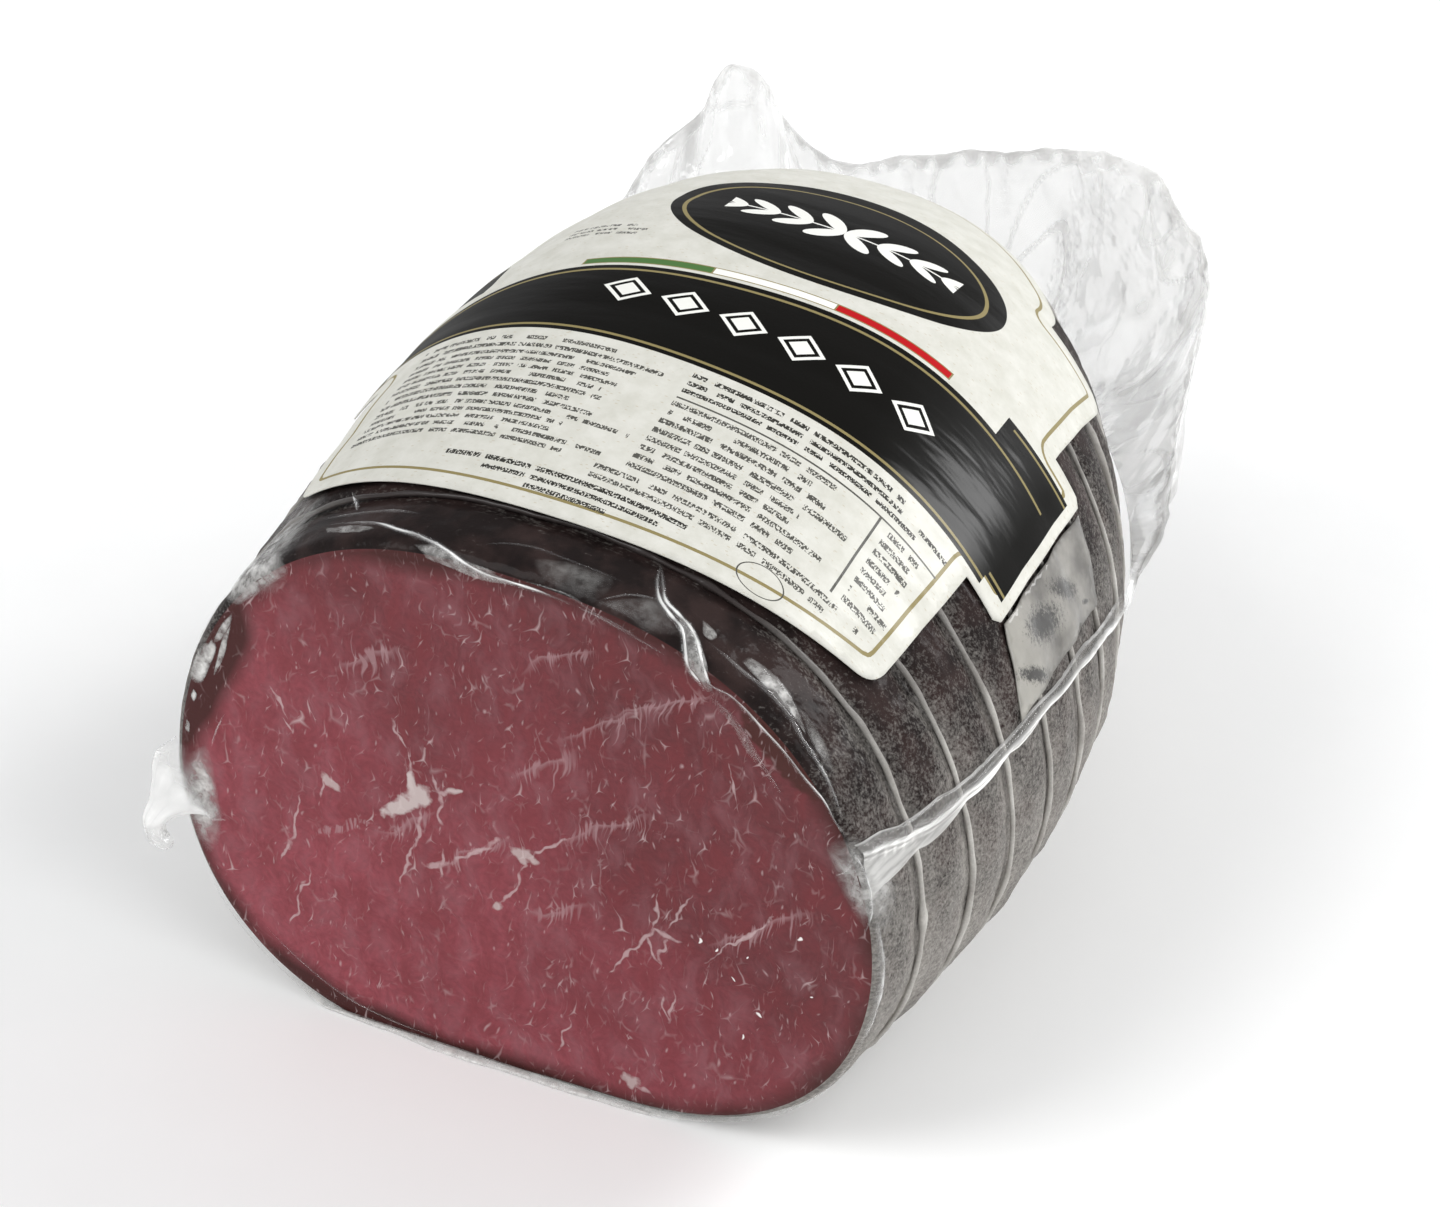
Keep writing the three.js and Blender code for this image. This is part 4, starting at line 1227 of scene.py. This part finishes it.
foot_angle = np.interp(seam_along, *zip(*seam_foot))
waviness = np.interp(seam_along, (0, 14, 60), (0, 1, 0.5))
foot_angle -= 0.9 * np.abs(np.sin(np.pi * (seam_along - 14) / hoop_pitch)) * waviness
top_angle += 0.2 * np.sin(seam_along / 3.7)
ridge_at = np.interp(seam_along, (0, 8, 22, 60, 119), (0.16, 0.3, 0.48, 0.55, 0.5))
body_radius = 63
sheet, milk = [], []
for along, top, foot, ridge in zip(seam_along, top_angle, foot_angle, ridge_at):
    across_mm = seam_across * math.radians(top - foot) * body_radius
    wide_mm = across_mm[-1]
    # The bright lines: a place across in mm, a half width and a strength.
    bright_lines = ((ridge * wide_mm, 0.36, 0.85), (0, 0.25, 0.5), (ridge * wide_mm + 1.0, 0.25, 0.3),
                    (wide_mm - 0.2, 0.3, 0.4))
    lines = sum(strength * np.exp(-((across_mm - place) / half_width) ** 2)
                for place, half_width, strength in bright_lines)
    past_ridge = seam_across - ridge
    wrinkle = 0.06 * np.sin(along * 0.31 + 3 * seam_across)
    turned_down = np.clip(1 - seam_across / 0.06, 0, 1) + np.clip((seam_across - 0.92) / 0.08, 0, 1)
    lift = 0.95 + 0.75 * np.exp(-(past_ridge / 0.16) ** 2) + 0.15 * lines + wrinkle - 0.5 * turned_down
    lift = lift - max(0.0, 1 - along / 2.6) ** 2
    sheet.append(body_point(along, np.radians(top + (foot - top) * seam_across), lift))
    doubled = 0.18 + 0.4 * np.clip(past_ridge / 0.12, 0, 1)
    ladder = max(0.0, math.sin(along * 2.6)) ** 2 * math.exp(-((along - 9) / 5) ** 2)
    ladder = 0.35 * ladder * np.exp(-((past_ridge - 0.14) / 0.09) ** 2)
    milky = np.clip(doubled + lines * (0.85 + 0.15 * math.sin(along / 4.3)) + ladder, 0, 1)
    milk.append(milky * (1 - blend_in(along, 98.0, 110.0)))
film_piece("film_right_seam", [(np.array(sheet), np.array(milk))], weld_film)


# Ear: the corner of the pouch at the front left, a small milky tongue of doubled film that curls over at its
# tip. Each point of its path has a half width and a half depth.
def unit(vector):
    """A vector's direction."""
    return vector / np.linalg.norm(vector)


def curve_direction(points, share, reach):
    """The smooth curve's direction at a share of it, from a little before to a little after."""
    return unit(smooth_curve(points, min(1, share + reach)) - smooth_curve(points, max(0, share - reach)))


ear_path = [((-63.0, -0.5, 41.0), 8.6, 0.4), ((-66.4, -0.8, 38.8), 7.6, 0.6),
            ((-69.0, -0.8, 35.6), 4.6, 1.0), ((-71.2, -0.8, 32.4), 2.7, 1.4),
            ((-72.8, -0.9, 29.2), 2.1, 1.9), ((-72.2, -1.2, 26.6), 2.0, 1.9),
            ((-70.3, -1.4, 25.8), 1.5, 1.4), ((-69.2, -1.5, 26.8), 0.5, 0.5)]
ear_points = [np.array(point) for point, half_width, half_depth in ear_path]
ear_widths = [half_width for point, half_width, half_depth in ear_path]
ear_depths = [half_depth for point, half_width, half_depth in ear_path]
ear_sides = np.linspace(0, 2 * np.pi, 19)
sheet, milk = [], []
for share in np.linspace(0, 1, 48):
    centre = smooth_curve(ear_points, share)
    place = share * (len(ear_path) - 1)
    half_width = float(np.interp(place, range(len(ear_path)), ear_widths))
    half_depth = float(np.interp(place, range(len(ear_path)), ear_depths))
    wide = unit(np.cross(curve_direction(ear_points, share, 0.02), (0, 1, 0)))
    pleats = 0.25 * np.sin(5 * ear_sides + 9 * share) * (1 - share)
    sideways = half_width * np.cos(ear_sides)
    forwards = (half_depth + pleats) * np.sin(ear_sides)
    sheet.append(centre + sideways[:, None] * wide + forwards[:, None] * np.array([0, -1, 0]))
    shade = 0.62 * blend_in(share, 0.0, 0.22) - 0.25 * blend_in(share, 0.5, 0.7)
    milk.append(np.clip(shade + 0.2 * np.cos(ear_sides * 4 + 5 * share) ** 8, 0, 1))
film_piece("film_front_ear", [(np.array(sheet), np.array(milk))], crumpled_film)


# Creases: where the film is drawn over the cut's edge it stands up in thin folds, milky along their tops.
# Each has a path of points over the edge, a radius in mm and a whiteness.
def over_edge(angle, reach, lift):
    """A point lying on the film over the cut's edge: its angle in degrees, and how far it is from the cut's
    rim, along the casing or, where negative, in across the cut face."""
    turn = math.radians(angle)
    if reach >= 0:
        ground = body_point(reach, turn, crest_rise, 0.15)
        crest = crest_rise * min(1.0, from_nearest_hoop(reach) / (hoop_pitch / 2)) ** 2
        swollen = min(1.0, reach / 4) * casing_lumps([ground])[0] + crest
        point = body_point(reach, turn, lift + swollen - rounded_rim(reach), 0.15)
        point[1] -= lift * max(0.0, 1 - reach / rim_width)
        return point
    rim_point = body_point(0.0, turn, -rim_rounding)
    return rim_point - reach * unit(hub - rim_point) + np.array([0, -lift, 0])


creases = [
    ([(131, 6), (123.6, 5.2), (118.8, 4.4), (114.6, 3.2), (109.2, 2), (103.8, 0.8), (99.9, 0), (95.7, -0.3),
      (90.6, -0.3), (84.9, -0.2), (81, -0.3), (76.8, -0.4)], 0.28, 0.7),
    ([(88, 0), (82.5, 0.1), (78, 0.1), (73.5, -0.2), (69.3, -0.5), (63.3, -1)], 0.17, 0.35),
    ([(76.8, -0.4), (73.5, -0.6), (69.3, -0.9), (62, -1.4), (58, -1.5)], 0.17, 0.35),
    ([(134, 8.8), (125.4, 8.4), (118.2, 8), (112.5, 7.6)], 0.22, 0.3),
    ([(130.8, 15.6), (128.4, 12.4), (126.3, 9.6)], 0.28, 0.55),
    ([(98, 3.2), (94.5, 4.4), (89.1, 5.6), (82.8, 5.6), (76.8, 5.6), (71.1, 5.6)], 0.16, 0.18),
    ([(73.2, 0.8), (69.3, 3.6), (64.8, 5.6)], 0.15, 0.35),
    ([(68.6, 12.8), (67.2, 9.2), (64.8, 5.6), (61.5, 3.6), (58.8, 2.6), (55.8, 0.2), (53.8, -1),
      (50.8, -2.2), (48.4, -3.3)], 0.36, 0.75),
    ([(68.3, 12.4), (65.7, 8.4), (63.9, 6), (60.9, 4.8), (57.9, 3.6), (55.5, 2), (52.5, 0.2), (49.8, -0.9),
      (47.3, -2.6)], 0.36, 0.75),
    ([(50.5, -0.6), (48.8, -1.2), (45.8, -0.3), (42.6, -0.3), (39, -0.5), (34.1, -0.3), (28.6, -0.1),
      (24.3, 0), (20.4, 0), (15.6, 0.8)], 0.2, 0.6),
    ([(55.5, 3.4), (50.7, 3.2), (46.5, 3.2), (42.9, 3.2), (37.8, 2.8), (33.6, 2), (30.3, 1.8), (27, 1.5),
      (23.1, 1), (20, 0.6)], 0.3, 0.4),
    ([(47.8, -3.4), (43.5, -3.3), (39.4, -4), (34, -5.4), (29.1, -6), (25.7, -6.2)], 0.26, 0.24),
    ([(215, -3.4), (222, -3.8), (232, -3.2), (242, -2.2), (252, -1.4)], 0.22, 0.3),
    ([(174.1, -7.1), (178.4, -6.2), (181.9, -5.5)], 0.2, 0.4),
    ([(6, 0.6), (1.5, 0.7), (-2.7, 0.8), (-6, 0.9), (-9, 0.8), (-14, 0.6), (-20, 0.5)], 0.55, 0.5),
    ([(17, 0.1), (13, 0.6), (9, 0.7), (5, 0.3), (1, -0.6)], 0.24, 0.6),
    ([(14, 0.2), (12, -1.4), (11, -3.4)], 0.22, 0.5),
]

# A crease is a low ridge whose flanks run out flat. It stands away from the core of the meat.
core = hub + (0, 30, 0)
flank = np.linspace(-2.6, 2.6, 11)
ridge_shape = 1.5 * np.exp(-flank * flank) - 0.35
sheets = []
for path, radius, whiteness in creases:
    path = [over_edge(angle, reach, 0.3) for angle, reach in path]
    sheet, milk = [], []
    for share in np.linspace(0, 1, 22 * len(path)):
        centre = smooth_curve(path, share)
        out = unit(centre - core)
        beside = unit(np.cross(curve_direction(path, share, 0.01), out))
        thick = radius * math.sin(math.pi * min(0.999, max(0.001, share))) ** 0.45
        thick *= 1 + 0.35 * noise.noise(Vector((share * len(path) * 1.7, radius * 30, 0)))
        sheet.append(centre + beside * thick * flank[:, None] + out * thick * ridge_shape[:, None])
        broken = 1 + 0.5 * noise.noise(Vector((share * len(path) * 1.3, radius * 50, 4.4)))
        milk.append(whiteness * broken * np.exp(-flank ** 2 / 1.3) * min(1, 5 * share, 5 * (1 - share)))
    sheets.append((np.array(sheet), np.array(milk)))
film_piece("film_creases", sheets, crumpled_film)

# Hazy places: air and meat juice under the film dull it, in soft patches or in blisters with a sharp edge,
# and at the upper left the film stands off the casing. Some are painted highlights: small bright marks along
# the left rim and bright patches on the casing at the upper right stand for the film's shine. Each has an
# outline of points over the edge, a whiteness, and a power for how soon it fades outwards.
hazes_and_painted_highlights = [
    ([(155, 6), (155, 18), (148, 23), (137, 18), (135, 6.4), (136, 0.5), (143, -3.5), (150, 0.8)], 0.5, 1.3),
    ([(155, 3), (153, 8), (147, 7.2), (137.4, 1.2), (137.4, -0.7), (144.6, -1.4), (151, -0.6)], 0.8, 0.8),
    ([(110.4, 0.8), (106.8, 1.2), (100.5, 0.3), (93.6, 0), (89.1, -0.6), (91.9, -1.3), (98.1, -1.8),
      (103.9, -0.9), (107.7, -0.2)], 0.42, 0.3),
    ([(130, 4.9), (124.8, 4.8), (119.1, 3.2), (122.4, 2.4), (129, 3.6)], 0.4, 0.3),
    ([(88.2, 3.2), (82.8, 5.2), (76.8, 5.6), (73.2, 5.2), (72.9, 1.2), (79.2, 0.3), (85.8, 1.2)], 0.17, 0.8),
    ([(73.5, 0.4), (69, 3), (65.4, 5.6), (61, 3), (58.5, 1.6), (62.7, 0), (67.8, 0.4)], 0.18, 0.8),
    ([(61, 4.6), (57, 3.8), (54, 1.6), (51, 0), (48.5, -1.6), (48.2, -3), (50.8, -2.2), (55.8, 0),
      (59, 2.6)], 0.6, 0.4),
    ([(16, -3.6), (9, -3.6), (4, -1.8), (1, 2.0), (4, 6), (11, 6.4), (16.5, 3), (18, 0)], 0.6, 1.3),
    ([(184, -1.0), (182, -4.4), (190, -6.4), (199, -4.8), (202, -0.8), (192, 0.6)], 0.95, 1.3),
    # Painted highlights along the left rim: small crisp bright marks that stand for the film's shine there.
    ([(153.5, -0.6), (155, -1.4), (160, -1.6), (161, -0.8), (157, -0.3)], 0.6, 0.4),
    ([(160.5, -0.2), (161.5, -1.5), (166, -2), (170, -1.5), (170.5, -0.2), (165, 0.3)], 0.85, 0.35),
    ([(155.5, -1.6), (158, -2.4), (163, -3.6), (167.5, -3.2), (164, -2.6), (159, -1.7)], 0.75, 0.5),
    ([(171.8, -0.4), (172.6, -1.3), (174.2, -1), (173.4, -0.3)], 0.75, 0.5),
    ([(178, -0.2), (178.6, -0.9), (180.4, -0.8), (180, -0.1)], 0.6, 0.5),
    # Painted highlight: the bright patch of the film's shine on the casing at the upper right.
    ([(48.3, 4.6), (44.7, 3.8), (41.1, 3.4), (38.1, 3.4), (33.9, 3.2), (38.7, 5.6), (42, 6.6), (45.6, 6.6),
      (48, 6.2)], 0.75, 0.6),
    # A dusty streak beyond it.
    ([(38, 5.5), (33, 5.8), (28, 4.5), (27, 3.2), (33, 3.2)], 0.34, 1.3),
    # Painted highlight: a small bright mark of shine beside it.
    ([(57.3, 6.6), (55.5, 4), (54, 4), (53.8, 5.4), (55.8, 6.4)], 0.6, 0.6),
    # Soft hazes again.
    ([(48, -2.8), (44, -3.4), (39, -4.4), (34, -5.8), (29, -6.6), (35, -7), (42, -5), (47, -4)], 0.24, 1.3),
    ([(168, 1), (160, 4), (152, 3), (156, 0.5), (164, 0)], 0.3, 1.3),
]
face_lift = 0.14
casing_lift = 0.22
sheets = []
for outline, whiteness, fading in hazes_and_painted_highlights:
    middle = np.mean(outline, axis=0)
    count = 8 * len(outline)
    closed_outline = [np.array(point, dtype=float) for point in outline + outline[:1]]
    ring_points = [smooth_curve(closed_outline, share) for share in np.linspace(0, 1, count + 1)]
    sheet, milk = [], []
    for ring in np.linspace(0.01, 1, 9):
        ring_places = [middle + (point - middle) * ring for point in ring_points]
        sheet.append([over_edge(angle, reach, face_lift if reach < 0 else casing_lift)
                      for angle, reach in ring_places])
        milk.append(np.full(count + 1, whiteness * (1 - ring ** 2) ** fading))
    sheets.append((np.array(sheet), np.array(milk)))
film_piece("film_hazes_and_painted_highlights", sheets, dulled_film_and_painted_shine)

# Lip: below the cut the film stands a little off the meat and its edge lies on the table in front. Its width
# in mm is given at angles in degrees.
lip_widths = [(224, 0.2), (234, 1), (244, 1.6), (256, 3), (266, 2), (282, 2.1), (292, 1.3), (304, 0.5),
              (334, 0.6), (350, 0.3)]
sheet, milk = [], []
for angle in np.linspace(207, 352, 220):
    width = np.interp(angle, *zip(*lip_widths))
    width *= 1 + 0.3 * noise.noise(Vector((angle / 7, 0.4, 0)))
    width *= blend_in(angle, 205, 216) * (1 - blend_in(angle, 335, 353))
    rim_point = over_edge(angle, 0.6, 0.1)
    outer = body_point(0.0, math.radians(angle), width * 0.7)
    outer = outer + np.array([0, -width * 0.9, 0])
    row = []
    for share in np.linspace(0, 1, 12):
        point = rim_point + (outer - rim_point) * share
        point[1] -= 0.5 * math.sin(math.pi * share)
        point[2] = max(0.12 + 0.5 * math.sin(math.pi * share) * min(1, width), point[2])
        row.append(point)
    sheet.append(row)
    streak = 0.5 + 0.5 * noise.noise(Vector((angle / 2.2, 7.7, 0)))
    milky = 0.5 + 0.4 * streak * np.sin(np.linspace(0.3, 3.0, 12))
    milk.append(np.clip(milky, 0, 1) * min(1, width))
film_piece("film_lower_lip", [(np.array(sheet), np.array(milk))], dulled_film_and_painted_shine)
